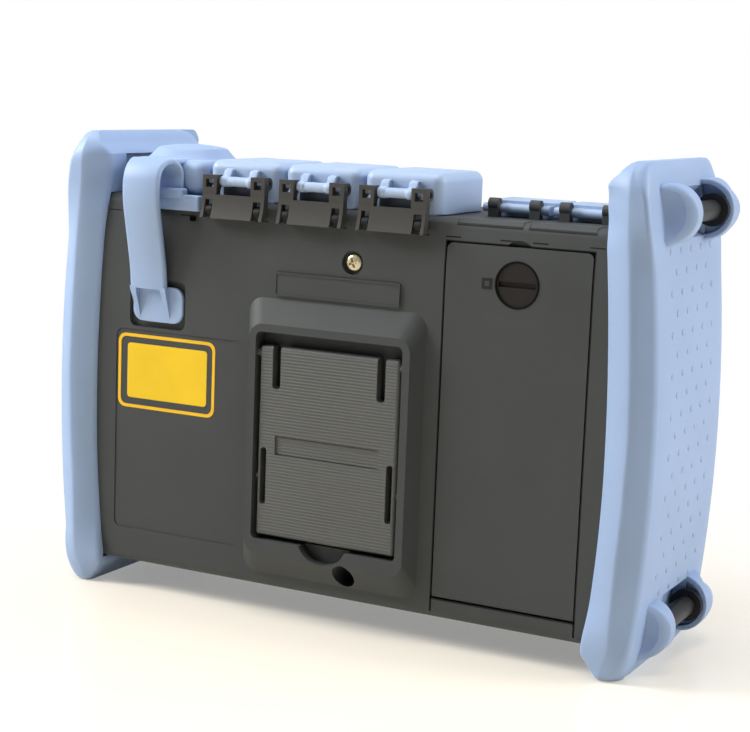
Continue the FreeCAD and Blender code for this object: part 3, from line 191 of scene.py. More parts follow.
def solid(name, grid, degrees=50):
    """A capped grid with its faces outwards, shaded smooth up to the angle."""
    return smooth(outward(grid_object(name, grid)), degrees)


def step(value, low, high):
    """Smooth step: 0 below low, 1 above high, and an S curve between."""
    share = np.clip((value - low) / (high - low), 0.0, 1.0)
    return share * share * (3.0 - 2.0 * share)


# %% [markdown]
# Every finish is a small node tree on a Principled shader. Object coordinates are metres here,
# so a noise of scale 3000 has grains a third of a millimetre across. Two noises do most of the
# work: a coarse one shifts the colour and the gloss, and a fine one, through a Bump node, gives
# the spark-eroded grain that moulds leave on plastic.

# %% Finish helper


def finish(name, colour, rough, grain, grain_scale, vary=0.06, metal=0.0, **inputs):
    """A material with coarse colour variation and a fine bump grain of the given height in mm."""
    material = bpy.data.materials.new(name)
    material.use_nodes = True
    tree = material.node_tree
    shader = tree.nodes["Principled BSDF"]
    place = tree.nodes.new("ShaderNodeTexCoord")
    cloud = tree.nodes.new("ShaderNodeTexNoise")
    cloud.inputs["Scale"].default_value = 38.0
    cloud.inputs["Detail"].default_value = 4.0
    tree.links.new(place.outputs["Object"], cloud.inputs["Vector"])
    shades = tree.nodes.new("ShaderNodeValToRGB")
    dark, light = shades.color_ramp.elements
    dark.position, light.position = 0.3, 0.7
    dark.color = (*[c * (1.0 - vary) for c in colour], 1.0)
    light.color = (*[min(1.0, c * (1.0 + vary)) for c in colour], 1.0)
    tree.links.new(cloud.outputs["Fac"], shades.inputs["Fac"])
    tree.links.new(shades.outputs["Color"], shader.inputs["Base Color"])
    gloss = tree.nodes.new("ShaderNodeMapRange")
    gloss.inputs["To Min"].default_value = rough - 0.04
    gloss.inputs["To Max"].default_value = rough + 0.04
    tree.links.new(cloud.outputs["Fac"], gloss.inputs["Value"])
    tree.links.new(gloss.outputs["Result"], shader.inputs["Roughness"])
    shader.inputs["Metallic"].default_value = metal
    for key, value in inputs.items():
        shader.inputs[key.replace("_", " ")].default_value = value
    fine = tree.nodes.new("ShaderNodeTexNoise")
    fine.inputs["Scale"].default_value = grain_scale
    fine.inputs["Detail"].default_value = 2.0
    tree.links.new(place.outputs["Object"], fine.inputs["Vector"])
    bump = tree.nodes.new("ShaderNodeBump")
    bump.inputs["Strength"].default_value = 1.0
    bump.inputs["Distance"].default_value = grain * MM
    tree.links.new(fine.outputs["Fac"], bump.inputs["Height"])
    tree.links.new(bump.outputs["Normal"], shader.inputs["Normal"])
    return material


def add_height(material, height, depth):
    """Puts one more Bump, fed by a height output and of a depth in mm, before the grain."""
    tree = material.node_tree
    bump = tree.nodes.new("ShaderNodeBump")
    bump.inputs["Distance"].default_value = depth * MM
    tree.links.new(height, bump.inputs["Height"])
    grain = tree.nodes["Principled BSDF"].inputs["Normal"].links[0].from_node
    tree.links.new(bump.outputs["Normal"], grain.inputs["Normal"])


# %% [markdown]
# Masks and waves are worked out by Math nodes. For each tree, maths gives a short function that
# adds one such node, and the outputs of the place's x, y and z in metres.

# %% Maths with nodes


def formula(tree, kind, *values, clamp=False):
    """One Math node; each value is a number or another node's output."""
    node = tree.nodes.new("ShaderNodeMath")
    node.operation = kind
    node.use_clamp = clamp
    for socket, value in zip(node.inputs, values):
        if isinstance(value, (int, float)):
            socket.default_value = value
        else:
            tree.links.new(value, socket)
    return node.outputs[0]


def maths(tree):
    """The formula function for one tree, and its Object coordinates' x, y and z outputs."""
    place = tree.nodes.new("ShaderNodeTexCoord")
    split = tree.nodes.new("ShaderNodeSeparateXYZ")
    tree.links.new(place.outputs["Object"], split.inputs[0])
    return partial(formula, tree), *split.outputs


def normal_part(tree, axis):
    """One component of the face's own normal."""
    face = tree.nodes.new("ShaderNodeNewGeometry")
    split = tree.nodes.new("ShaderNodeSeparateXYZ")
    tree.links.new(face.outputs["True Normal"], split.inputs[0])
    return split.outputs[axis]


def inside(calc, value, low, high):
    """1 where the value lies between low and high, which are in mm."""
    return calc("MULTIPLY", calc("GREATER_THAN", value, low * MM),
                calc("LESS_THAN", value, high * MM))


def both(calc, first, *others):
    """1 where all the masks are 1."""
    for other in others:
        first = calc("MULTIPLY", first, other)
    return first


# %% [markdown]
# One finish for each slot of the CAD record. The dark plastics keep a low specular level, since
# the white surroundings would otherwise lie on them as a haze.

# %% Finishes
CASE = (0.059, 0.0645, 0.066)
BLUE = (0.303, 0.420, 0.652)
STIFF_BLUE = (0.37, 0.485, 0.69)
case_finish = partial(finish, colour=CASE, rough=0.52, grain=0.035, grain_scale=2600.0, vary=0.05,
                      Specular_IOR_Level=0.22)
finishes = {
    "case_plastic": case_finish("case plastic"),
    "hinge_plastic": finish("hinge plastic", (0.052, 0.050, 0.046), 0.45, 0.02, 2600.0, 0.05,
                            Specular_IOR_Level=0.25),
    "blue_elastomer": finish("blue elastomer", BLUE, 0.50, 0.02, 3400.0, 0.03),
    "blue_plastic": finish("blue plastic", STIFF_BLUE, 0.42, 0.012, 3400.0, 0.03),
    "key_rubber": finish("key rubber", (0.10, 0.105, 0.11), 0.55, 0.015, 3000.0),
    "pale_key": finish("pale key", (0.50, 0.52, 0.54), 0.45, 0.012, 3000.0),
    "circuit_board": finish("solder mask", (0.012, 0.11, 0.045), 0.30, 0.01, 1500.0, 0.15),
    "sheet_metal": finish("sheet metal", (0.62, 0.63, 0.64), 0.32, 0.006, 900.0, 0.04, 1.0),
    "adapter_metal": finish("nickelled brass", (0.68, 0.65, 0.56), 0.26, 0.004, 1200.0, 0.05, 1.0),
    "battery_wrap": finish("battery wrap", (0.05, 0.05, 0.055), 0.40, 0.01, 1500.0),
    "screw_metal": finish("zinc plating", (0.70, 0.60, 0.40), 0.30, 0.01, 2500.0, 0.10, 1.0),
    "black_steel": finish("black steel", (0.016, 0.016, 0.018), 0.38, 0.01, 1800.0, 0.10,
                          Specular_IOR_Level=0.25),
    "lock_plastic": finish("lock plastic", (0.022, 0.019, 0.018), 0.45, 0.015, 2600.0,
                           Specular_IOR_Level=0.15),
    "display_face": finish("display face", (0.020, 0.024, 0.028), 0.25, 0.004, 2000.0),
    "light_lens": finish("light lens", (0.10, 0.42, 0.14), 0.20, 0.006, 1500.0),
    "display_glass": finish("display glass", (0.03, 0.04, 0.045), 0.06, 0.002, 600.0, 0.02,
                            Coat_Weight=0.6, Coat_Roughness=0.03),
}
print(len(finishes), "finishes")

# %% [markdown]
# The tilt stand's outer face is ribbed: low ridges run across it, one a millimetre. A wave on
# the z coordinate, fed to a Bump node, draws them without any geometry. The ribs stop on faces
# that don't look backwards, because the normal's y masks them.

# %% Ribbed finish for the stand
RIB_PITCH = 1.05 * MM
ribbed = finish("ribbed plastic", (0.084, 0.088, 0.087), 0.50, 0.03, 2600.0, 0.05)
calc, x, y, z = maths(ribbed.node_tree)
wave = calc("SINE", calc("MULTIPLY", z, 2.0 * math.pi / RIB_PITCH))
rearward = calc("SUBTRACT", normal_part(ribbed.node_tree, 1), 0.9)
rearward = calc("MULTIPLY", rearward, 12.0, clamp=True)
add_height(ribbed, calc("MULTIPLY", wave, rearward), 0.07)
print("ribs every", RIB_PITCH, "m")

# %% [markdown]
# The bumpers' sides carry small round pimples in staggered rows, for grip. In the plane of y
# and z each row is one lattice step high, every other row is shifted by half a step, and the
# distance to the nearest lattice point becomes a smooth bump.

# %% Pimpled finish for the bumpers
PITCH_Y, PITCH_Z = 9.8 * MM, 6.2 * MM
FIRST_ROW, FIRST_COLUMN = 3.1 * MM, 20.7
PIMPLE_RADIUS = 1.15 * MM
pimpled = finish("pimpled elastomer", BLUE, 0.50, 0.02, 3400.0, 0.03)
calc, x, y, z = maths(pimpled.node_tree)
row = calc("DIVIDE", calc("SUBTRACT", z, FIRST_ROW), PITCH_Z)
shift = calc("MULTIPLY", calc("MODULO", calc("FLOOR", row), 2.0), 0.5)
column = calc("ADD", calc("ADD", calc("DIVIDE", y, PITCH_Y), FIRST_COLUMN), shift)
across = calc("MULTIPLY", calc("SUBTRACT", calc("FRACT", column), 0.5), PITCH_Y)
along = calc("MULTIPLY", calc("SUBTRACT", calc("FRACT", row), 0.5), PITCH_Z)
squares = calc("ADD", calc("MULTIPLY", across, across), calc("MULTIPLY", along, along))
distance = calc("SQRT", squares)
spot = calc("SUBTRACT", 1.0, calc("DIVIDE", distance, PIMPLE_RADIUS), clamp=True)
sideways = calc("ABSOLUTE", normal_part(pimpled.node_tree, 0))
sideways = calc("MULTIPLY", calc("SUBTRACT", sideways, 0.93), 18.0, clamp=True)
pimples = both(calc, spot, sideways, inside(calc, y, -25.4, 20.6), inside(calc, z, 23.5, 131.5))
add_height(pimpled, pimples, 0.85)
print("pimples", PITCH_Y, "by", PITCH_Z, "m")

# %% [markdown]
# Narrow places get painted shade: the small ears that carry the port links, the strip under the
# port covers' bars and the gap round the battery cover look darker than soft light makes them, so a
# mask from the Object coordinates darkens the colour there. The ports stand one pitch apart, so one
# formula with Modulo finds the nearest port for all of them.

# %% Helpers for painted shade
PORTS = {"a": 38.2, "b": 9.2, "c": -19.8}
PORT_PITCH = 29.0 * MM


def paint_shade(material, where, keep):
    """Paints shade: multiplies the material's colour by keep wherever the mask output is 1."""
    tree = material.node_tree
    shader = tree.nodes["Principled BSDF"]
    before = shader.inputs["Base Color"].links[0].from_socket
    mix = tree.nodes.new("ShaderNodeMix")
    mix.data_type = "RGBA"
    mix.blend_type = "MULTIPLY"
    tree.links.new(where, mix.inputs[0])
    tree.links.new(before, mix.inputs[6])
    mix.inputs[7].default_value = (keep, keep, keep, 1.0)
    tree.links.new(mix.outputs[2], shader.inputs["Base Color"])


def from_port(calc, x):
    """Distance in x from the nearest port's middle."""
    first = (PORTS["a"] + MIDDLE) * MM
    along = calc("ADD", calc("SUBTRACT", x, first), 5.5 * PORT_PITCH)
    return calc("ABSOLUTE", calc("SUBTRACT", calc("MODULO", along, PORT_PITCH), PORT_PITCH / 2))


def near_border(calc, x, z, sides, width):
    """1 within the width of a rectangle's border; sides are its x and z limits, all in mm."""
    away = []
    for value, a, b in ((x, sides[0] + MIDDLE, sides[1] + MIDDLE), (z, sides[2], sides[3])):
        centred = calc("ABSOLUTE", calc("SUBTRACT", value, (a + b) / 2 * MM))
        away.append(calc("SUBTRACT", centred, (b - a) / 2 * MM))
    edge = calc("MAXIMUM", *away)
    return calc("LESS_THAN", calc("ABSOLUTE", edge), width * MM)


# %% [markdown]
# The rear case gets two such masks of painted shade, in the link ears and in the battery cover's
# gap, and the port covers get one, under their bars.

# %% Painted shade in narrow places
BATTERY_COVER_SIDES = (-86.1, -37.8, 15.9, 129.3)
rear_plastic = case_finish("rear case plastic")
calc, x, y, z = maths(rear_plastic.node_tree)
# Painted shade in the slots of the link ears.
ears = both(calc, inside(calc, from_port(calc, x), 6.6, 11.6),
            inside(calc, z, 130.6, 136.4), inside(calc, y, 30.2, 48.0))
paint_shade(rear_plastic, ears, 0.12)
# Painted shade in the gap round the battery cover.
gap = both(calc, near_border(calc, x, z, BATTERY_COVER_SIDES, 0.55), inside(calc, y, 27.0, 31.6))
paint_shade(rear_plastic, gap, 0.10)

cover_plastic = finish("port cover plastic with painted shade", STIFF_BLUE, 0.42, 0.012, 3400.0, 0.03)
calc, x, y, z = maths(cover_plastic.node_tree)
# Painted shade in the strip under each bar.
bar_shade = both(calc, inside(calc, from_port(calc, x), -1.0, 7.8),
                 inside(calc, z, 130.0, 141.3), inside(calc, y, 24.0, 29.0))
paint_shade(cover_plastic, bar_shade, 0.10)
print("3 masks")

# %% [markdown]
# The record of the CAD model names a slot for each node, and the slot chooses the finish. The
# stand, the rear case and the port covers then get the finishes made for them above.

# %% Put the finishes on the CAD nodes
slot_of = {piece["node"]: piece["material_slot"] for piece in frame["record"]["subparts"]}
for name, node in nodes.items():
    node.data.materials.clear()
    node.data.materials.append(finishes[slot_of[name]])
    smooth(node, 28)
nodes["tilt_stand"].data.materials[0] = ribbed
nodes["rear_case"].data.materials[0] = rear_plastic
for letter in PORTS:
    nodes[f"port_cover_{letter}"].data.materials[0] = cover_plastic
print(len(nodes), "nodes dressed")

# %% [markdown]
# Each bumper is a soft moulding that grips the case's end. Its section at one height is a C:
# two lips lap over the case's rear and front faces, and a wall joins them. Carried up the z
# axis, with its inner and outer reach following two bows, that section makes the whole bumper.
# The reaches are distances from the case's middle plane. At the foot the outside draws in and
# the inside is cut off at a slant; at the top the section turns in like the end of an ellipse.

# %% Bumper's reach at each height
BUMPER_REAR, BUMPER_FRONT, BUMPER_HIGH = 35.7, -37.0, 157.0
GRIP_LOW, GRIP_HIGH, GAP_HIGH = 8.9, 136.6, 149.6  # the case's end, and the gap above it
GRIP_REAR, GRIP_FRONT, GRIP_END = 31.12, -33.12, 101.62  # the case's faces that are gripped


def top_turn(z):
    """0 up to 10 mm below the bumper's top, then 1 - sqrt(1 - t^2) up to 1 at the top."""
    return 1.0 - np.sqrt(1.0 - np.clip((z - BUMPER_HIGH + 10.0) / 10.0, 0.0, 1.0) ** 2)


def outer_reach(z):
    """Outer bow: 108.65 - 3.2 ((z - 70) / 58)^2, drawn in at the top and the foot."""
    bow = 108.65 - 3.2 * ((z - 70.0) / 58.0) ** 2
    return bow - 1.5 * top_turn(z) - 2.2 * np.clip(1.0 - z / 9.0, 0.0, 1.0) ** 2


def inner_reach(z):
    """Inner bow: highest at z = 66, falling as the square; a slanted foot and a stepped crown."""
    bow = 93.1 - np.where(z > 66.0, 0.00072, 0.00115) * (z - 66.0) ** 2
    foot = 89.56 + 5.0 * np.clip(1.0 - z / 7.5, 0.0, 1.0)
    crown = np.interp(z, [GAP_HIGH, 151.0, 152.4, 153.2, 154.2, 155.3, 156.3, BUMPER_HIGH],
                      [88.8, 89.8, 91.4, 92.6, 93.1, 94.1, 95.3, 96.6])
    return np.where(z < 10.5, foot, np.where(z > GAP_HIGH, crown, np.maximum(bow, 88.8)))


def ridge_reach(z):
    """Where the rear face's ridge runs: 95.6 at the foot, 101.4 half way and 97.2 at the top."""
    return np.interp(z, [0, 10, 38, 53, 76, 96, 117, 137, BUMPER_HIGH],
                     [95.6, 98.6, 99.7, 100.7, 101.4, 100.7, 99.4, 97.9, 97.2])


def end_inset(z, radius):
    """How far a face draws in where the bumper's foot is rounded with that radius."""
    end = np.clip(radius - z, 0.0, radius)
    return radius - np.sqrt(radius ** 2 - end ** 2)


print("outer reach", outer_reach(np.array([0.0, 70.0, 157.0])).round(1))

# %% [markdown]
# The numbers of the section come next, each a column with one value for each height. The rear
# face is a ridge: it falls inwards to the lip and outwards along a hollow chamfer to a round
# corner. At the foot and at the top the chamfer fades and the corner grows.

# %% Bumper's section in numbers
LIP_RADIUS = 1.3
HOLLOW_SOFTNESS, HOLLOW_END = 0.2, 0.8014  # how soon the chamfer's hollow starts, and its end


def bumper_heights():
    """A column of heights, close together where the section turns in or changes at once."""
    ends = 1.0 - np.cos(np.linspace(0, math.pi / 2, 16))
    seats = [GRIP_LOW - 0.02, GRIP_LOW, 10.5, GRIP_HIGH, GRIP_HIGH + 0.02]
    steps = [4.0 * ends, np.linspace(4.6, 146.4, 220), BUMPER_HIGH - 10.0 * ends[::-1],
             seats, [GAP_HIGH, GAP_HIGH + 0.02]]
    return np.unique(np.round(np.concatenate(steps), 4))[:, None]


def bumper_section(z):
    """The faces, lips, seats and corner of the section at every height."""
    s = SimpleNamespace(outer=outer_reach(z), inner=inner_reach(z), ridge=ridge_reach(z))
    foot_turn = np.clip(1.0 - z / 16.0, 0.0, 1.0) ** 1.4
    s.rear = BUMPER_REAR - end_inset(z, 2.0) - 2.2 * foot_turn - 8.5 * top_turn(z)
    s.front = BUMPER_FRONT + end_inset(z, 4.0) + 6.0 * top_turn(z)
    s.bend = 11.0 * step(z, 148.0, 150.2)
    s.lip = np.minimum(LIP_RADIUS, (s.outer - s.inner) * 0.3)
    in_grip = (z >= GRIP_LOW) & (z <= GRIP_HIGH)
    in_gap = (z > GRIP_HIGH) & (z <= GAP_HIGH)
    s.wall = np.where(in_grip, GRIP_END, np.where(in_gap, 100.0, s.inner + 0.02))
    s.hole_floor = np.where(in_grip, 101.9, 99.2)
    s.fall = (3.8 + 2.4 * step(z, 130.0, 141.0)) * (1.0 - 0.8 * step(z, 146.0, 156.0))
    s.fall *= 0.3 + 0.7 * step(z, 7.0, 24.0)
    lean = 1.6 * np.clip((z - 118.0) / 18.5, 0.0, 1.0) ** 2
    s.seat_rear = np.minimum(np.where(in_gap, 22.0, GRIP_REAR - lean), s.rear - s.fall - 0.3)
    s.seat_front = np.maximum(GRIP_FRONT, s.front + s.bend + 1.0)
    share = step(z, 3.0, 20.0) * (1.0 - 0.92 * step(z, 118.0, 143.0))
    s.chamfer, s.lean_in = 3.3 * share, math.radians(34) * share
    s.corner = 1.5 / (1.0 - np.sin(s.lean_in)) + 2.8 * step(z, 145.0, 155.0)
    s.corner += 4.0 * (1.0 - step(z, 1.0, 16.0))
    s.corner = np.minimum(s.corner, s.outer - s.ridge - 0.3)
    s.edge = s.outer - s.corner * (1.0 - np.sin(s.lean_in))
    return s


def lip_round(s, u):
    """How far a face lies back at reach u where the lip's edge is rounded."""
    into = np.clip(s.lip - (u - s.inner), 0.0, s.lip)
    return s.lip - np.sqrt(np.clip(s.lip ** 2 - into ** 2, 0.0, None))


def rear_level(s, u):
    """Rear face's y: falls inwards from the ridge, and along a hollow chamfer outwards. The
    hollow starts softly: past t it is t - h (1 - exp(-t / h)), with the softness h."""
    inward = np.clip((s.ridge - u) / np.maximum(s.ridge - s.inner, 0.5), 0.0, 1.0)
    past = np.clip((u - s.ridge) / np.maximum(s.edge - s.ridge, 0.5), 0.0, 1.0)
    soft = HOLLOW_SOFTNESS * (1.0 - np.exp(-past / HOLLOW_SOFTNESS))
    hollow = s.chamfer * (past - soft) / HOLLOW_END
    return s.rear - lip_round(s, u) * 0.6 - s.fall * inward ** 1.35 - hollow


def front_level(s, u):
    """Front face's y: flat, and bent back towards the lip where the crown overhangs."""
    bent = s.bend * np.clip((101.0 - u) / (101.0 - s.inner), 0.0, 1.0) ** 2
    return s.front + bent + lip_round(s, u)


print("section at", len(bumper_heights()), "heights")

# %% [markdown]
# The section's ring is put together from strips of points, in order: the rear seat, the rear
# face, its corner, the side, the front corner, the front face, the front seat and the wall. On
# the side, a round hollow behind each bar of the hand strap makes room for the strap.

# %% Bumper's surface
BAR_HEIGHTS = {"upper": 141.6, "lower": 14.2}
BAR_REACH, BAR_HOLLOW = 107.4, 8.4
SIDE_BOW = 0.5


def spread(count, start=0.0, end=1.0):
    """A row of shares from start to end."""
    return np.linspace(start, end, count)[None, :]


def side_reach(s, z, y, t, bars):
    """The side's reach: bowed by half a millimetre, with the hollows behind the bars."""
    reach = s.outer - SIDE_BOW * (2.0 * t - 1.0) ** 8 + 0 * y
    for height in bars:
        hollow = BAR_REACH - np.sqrt(np.clip(BAR_HOLLOW ** 2 - (z - height) ** 2, 0.0, None))
        hollow = np.maximum(hollow, s.hole_floor)
        near = (np.abs(z - height) < BAR_HOLLOW) & (y < 8.0) & (y > -16.0)
        reach = np.where(near, np.minimum(reach, hollow), reach)
    return reach


def bumper_grid(side, bars):
    """The ring of the section at every height: an array (heights, ring points, 3)."""
    z = bumper_heights()
    s = bumper_section(z)
    strips = []
    t = spread(5)
    strips.append((s.wall + (s.inner - s.wall) * t, s.seat_rear + 0 * t))
    u = s.inner + (s.edge - s.inner) * spread(64)
    strips.append((u, rear_level(s, u)))
    turn = s.lean_in + (math.pi / 2 - s.lean_in) * spread(12, 0.06, 1.0)
    middle = rear_level(s, s.edge) - s.corner * np.cos(s.lean_in)
    strips.append((s.outer - s.corner + s.corner * np.sin(turn), middle + s.corner * np.cos(turn)))
    t = spread(110)
    y = middle + ((s.front + s.corner) - middle) * t
    strips.append((side_reach(s, z, y, t, bars), y))
    turn = spread(11) * math.pi / 2
    start = s.outer - SIDE_BOW - s.corner
    strips.append((start + s.corner * np.cos(turn), s.front + s.corner - s.corner * np.sin(turn)))
    u = start + (s.inner - start) * spread(24)
    strips.append((u, front_level(s, u)))
    t = spread(5)
    strips.append((s.inner + (s.wall - s.inner) * t, s.seat_front + 0 * t))
    t = spread(6, 0.1, 0.9)
    strips.append((s.wall + 0 * t, s.seat_front + (s.seat_rear - s.seat_front) * t))
    u = np.concatenate([strip[0] for strip in strips], 1)
    y = np.concatenate([strip[1] for strip in strips], 1)
    return np.stack([side * u, y, np.broadcast_to(z, u.shape)], -1)


for side, name, bars in ((1.0, "bumper_left", ()), (-1.0, "bumper_right", BAR_HEIGHTS.values())):
    skin = solid(name + "_skin", bumper_grid(side, bars), 32)
    dress(skin, pimpled, "case")
    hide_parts(name)
    print(skin.name, len(skin.data.polygons), "faces")

# %% [markdown]
# Two pairs of round ears on one bumper hold the bars that a hand strap goes round. An ear is a
# disc turned about an axis along y: its profile runs from the bar's hole on one face, round the
# rim and over the other face. The far face slopes away from the bumper. In the rear ears it is a
# dish as well, and in the front ears a boss rises over the bar's end.

# %% Ears


def ear_grid(height, centre, rim, start, end, slope, dish):
    """A disc from y = start (the bar's side) to y = end, with a ring recess round the bar. Each
    point of the far side is lowered to the level of the slope, the dish and the boss."""
    way = 1.0 if end > start else -1.0
    deep = abs(end - start)
    edge = 2.2
    turn = np.linspace(0, math.pi / 2, 10)
    radius = np.concatenate([
        [3.3, 3.3], np.linspace(3.3, 7.8, 6), [7.9],
        rim - 0.8 + 0.8 * np.sin(turn), np.full(14, rim),
        rim - edge + edge * np.cos(turn), np.linspace(rim - edge - 0.1, 0.01, 26)])
    along = np.concatenate([
        [6.0, 2.0], np.full(6, 1.8), [0.0],
        0.8 - 0.8 * np.cos(turn), np.linspace(0.9, deep - edge - 0.1, 14),
        deep - edge + edge * np.sin(turn), np.full(26, deep)])
    angle = np.linspace(0, 2 * math.pi, 121)[:-1]
    r, t = np.meshgrid(radius, angle, indexing="ij")
    u = np.where(r < 3.4, 104.4, centre) + r * np.cos(t)
    z = height + r * np.sin(t)
    level = deep - slope * np.clip(u - 103.2, 0.0, None)
    if not dish:
        from_bar = np.hypot(u - BAR_REACH, z - height)
        level = np.maximum(level, 12.2 - 8.0 * step(from_bar, 4.2, 8.0))
    near = 1.0 - ((u - 104.6) / 5.2) ** 2 - ((z - height) / 7.2) ** 2
    level = level - dish * np.clip(near, 0.0, 1.0) ** 0.8
    w = np.broadcast_to(along[:, None], r.shape)
    past_hole = np.arange(len(r))[:, None] > 8
    w = np.where(past_hole, np.minimum(w, level * np.clip(w / deep, 0.0, 1.0)), w)
    return np.stack([-u, start + way * w, z], -1)


# Each ear's middle and rim radius, its start and end in y, its slope and its dish's depth.
EARS = {"rear": (103.8, 9.1, 12.6, 24.0, 0.60, 2.0),
        "front": (104.2, 9.5, -16.0, -30.0, 1.15, 0.0)}
for label, height in BAR_HEIGHTS.items():
    for place, sizes in EARS.items():
        ear = grid_object(f"strap_ear_{label}_{place}", ear_grid(height, *sizes), capped=False)
        smooth(outward(ear), 40)
        dress(ear, finishes["blue_elastomer"], "case")
print("4 ears")

# %% [markdown]
# The end port has a soft cap: a pad with rounded edges, a low round dome on its top and a skirt
# over the case's rear edge. A rounded rectangle at each height makes a pad, and shrinking that
# rectangle towards the top and bottom rounds the pad's edges.

# %% Soft cap


def corner_arcs(left, right, low, high, corner, shrink, count):
    """A rounded rectangle's ring of points, anticlockwise, with the corner radius shrunk."""
    arc = np.linspace(0, math.pi / 2, count)
    radius = corner - shrink
    centres = ((right - corner, high - corner), (left + corner, high - corner),
               (left + corner, low + corner), (right - corner, low + corner))
    arcs = [np.stack([a + radius * np.cos(arc + quarter * math.pi / 2),
                      b + radius * np.sin(arc + quarter * math.pi / 2)], -1)
            for quarter, (a, b) in enumerate(centres)]
    return np.concatenate(arcs)


def pad_grid(left, right, front, rear, low, high, corner, edge, foot=None):
    """A rounded box; its upper edge has the radius edge, and its lower one foot, if given."""
    foot = edge if foot is None else foot
    turn = np.linspace(0, math.pi / 2, 9)
    back = turn[::-1]
    draw = np.concatenate([foot * (1 - np.sin(turn)), edge * (1 - np.sin(back))])
    level = np.concatenate([low + foot * (1 - np.cos(turn)), high - edge * (1 - np.cos(back))])
    rows = []
    for shrink, z in zip(draw, level):
        ring = corner_arcs(left, right, front, rear, corner, shrink, 10)
        rows.append(np.column_stack([ring, np.full(len(ring), z)]))
    return np.array(rows)


def dome_grid(x, y, radius, low, rim, high):
    """A shallow dome that falls as the square of the distance, then in an S to its foot."""
    r = np.concatenate([[0.02], np.linspace(1.0, radius + 2.4, 40)])
    z = high - (high - rim) * np.clip(r / radius, 0.0, 1.0) ** 2
    z = z + (low - 0.1 - z) * step(r, radius - 2.2, radius + 2.4)
    angle = np.linspace(0, 2 * math.pi, 97)[:-1]
    r, t = np.meshgrid(r, angle, indexing="ij")
    z = np.broadcast_to(z[:, None], r.shape)
    top = np.stack([x + r * np.cos(t), y + r * np.sin(t), z], -1)
    foot = top[-1:].copy()
    foot[..., 2] = low - 1.0
    return np.concatenate([top, foot])


cap_parts = {
    "port_cap_pad": pad_grid(52.4, 84.0, -6.0, 28.4, 137.2, 148.8, 4.5, 3.0),
    "port_cap_dome": dome_grid(69.0, 11.0, 13.4, 148.8, 152.0, 153.6),
    "port_cap_skirt": pad_grid(52.4, 77.6, 29.0, 32.3, 132.4, 137.6, 0.9, 0.6),
    "port_cap_root": pad_grid(58.6, 77.2, 29.0, 32.9, 136.4, 139.6, 0.9, 0.5)}
for name, grid in cap_parts.items():
    dress(solid(name, grid), finishes["blue_elastomer"], "port_cap")
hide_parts("port_cap")
print("cap of", len(cap_parts), "pieces")

# %% [markdown]
# Each port cover carries a soft rounded crown, a pad a little larger than the stiff cover under
# it, with a nearly square lower edge. Its height and front come from the cover's own box.

# %% Crowns of the port covers
CROWN_HALF = 13.9
for letter, centre in PORTS.items():
    low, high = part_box(f"port_cover_{letter}")
    crown = solid(f"port_cover_{letter}_crown", pad_grid(
        centre - CROWN_HALF, centre + CROWN_HALF, low.y / MM - 0.1, 27.1,
        low.z / MM + 0.1, 149.7, 3.6, 3.2, 0.4))
    dress(crown, cover_plastic, f"port_cover_{letter}")
    print(f"cover {letter}", [round(v / MM, 1) for v in (*low, *high)])

# %% [markdown]
# The cap's strap rises from the cap's rear face, turns over in a loop and runs down to a tab
# that is pressed into a recess of the case. A ribbon is a rounded section carried along a path
# in the y and z plane; the path's normal gives its thickness, and its edges may spread.

# %% Strap of the cap


def ribbon_grid(path):
    """A flat section with round edges along a path. The path's rows are y and z of the outer
    side, the low and the high edge in x, and the thickness."""
    line, low, high, edge = path[:, :2], path[:, 2:3], path[:, 3:4], path[:, 4:] / 2
    ahead = np.gradient(line, axis=0)
    ahead /= np.linalg.norm(ahead, axis=1)[:, None]
    inward = np.stack([ahead[:, 1], -ahead[:, 0]], -1)
    arc = np.linspace(-math.pi / 2, math.pi / 2, 7)
    inset = edge * (1.0 - np.cos(arc))
    across = np.concatenate([high - inset, low + inset], 1)
    depth = np.concatenate([edge * (1.0 + np.sin(arc)), edge * (1.0 - np.sin(arc))], 1)
    grid = np.empty((*across.shape, 3))
    grid[..., 0] = across
    grid[..., 1:] = line[:, None, :] + inward[:, None, :] * depth[..., None]
    return grid


def smooth_path(points, count):
    """A Catmull-Rom curve through the points, sampled evenly in its parameter."""
    points = np.asarray(points, float)
    padded = np.concatenate([[2 * points[0] - points[1]], points, [2 * points[-1] - points[-2]]])
    t = np.linspace(0, len(points) - 1, count)
    i = np.minimum(t.astype(int), len(points) - 2)
    f = (t - i)[:, None]
    a, b, c, d = (padded[i + k] for k in range(4))
    return 0.5 * (2 * b + (c - a) * f + (2 * a - 5 * b + 4 * c - d) * f ** 2
                  + (3 * b - a - 3 * c + d) * f ** 3)


strap_path = smooth_path([
    (28.8, 137.8, 59.8, 79.6, 1.5), (29.2, 140.6, 60.0, 79.6, 1.4), (28.7, 144.2, 60.3, 79.4, 1.4),
    (29.4, 147.1, 60.9, 79.2, 1.5), (31.5, 149.0, 62.0, 79.0, 1.7), (34.0, 148.9, 63.2, 78.8, 2.0),
    (36.9, 147.0, 63.9, 78.5, 2.2), (38.8, 143.6, 64.0, 78.4, 2.2), (39.25, 139.4, 64.0, 78.4, 2.2),
    (38.9, 134.0, 64.0, 78.4, 2.2), (37.6, 127.6, 64.0, 78.4, 2.2), (35.8, 119.5, 64.0, 78.4, 2.2),
    (34.3, 112.0, 64.0, 78.4, 2.2), (33.6, 105.4, 64.0, 78.4, 2.2)], 110)
strap = solid("cap_strap_ribbon", ribbon_grid(strap_path))
strap.data.materials.append(finishes["blue_elastomer"])
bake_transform(strap)
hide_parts("cap_strap")

web_path = smooth_path([(20.0, 149.3, 60.8, 79.4, 1.8), (27.0, 149.2, 61.2, 79.2, 1.8),
                        (31.6, 149.05, 62.2, 79.0, 1.8), (34.0, 148.9, 63.2, 78.8, 1.8)], 30)
web = solid("cap_strap_web", ribbon_grid(web_path))
dress(web, finishes["blue_elastomer"], "port_cap")
print("strap", len(strap_path), "sections")

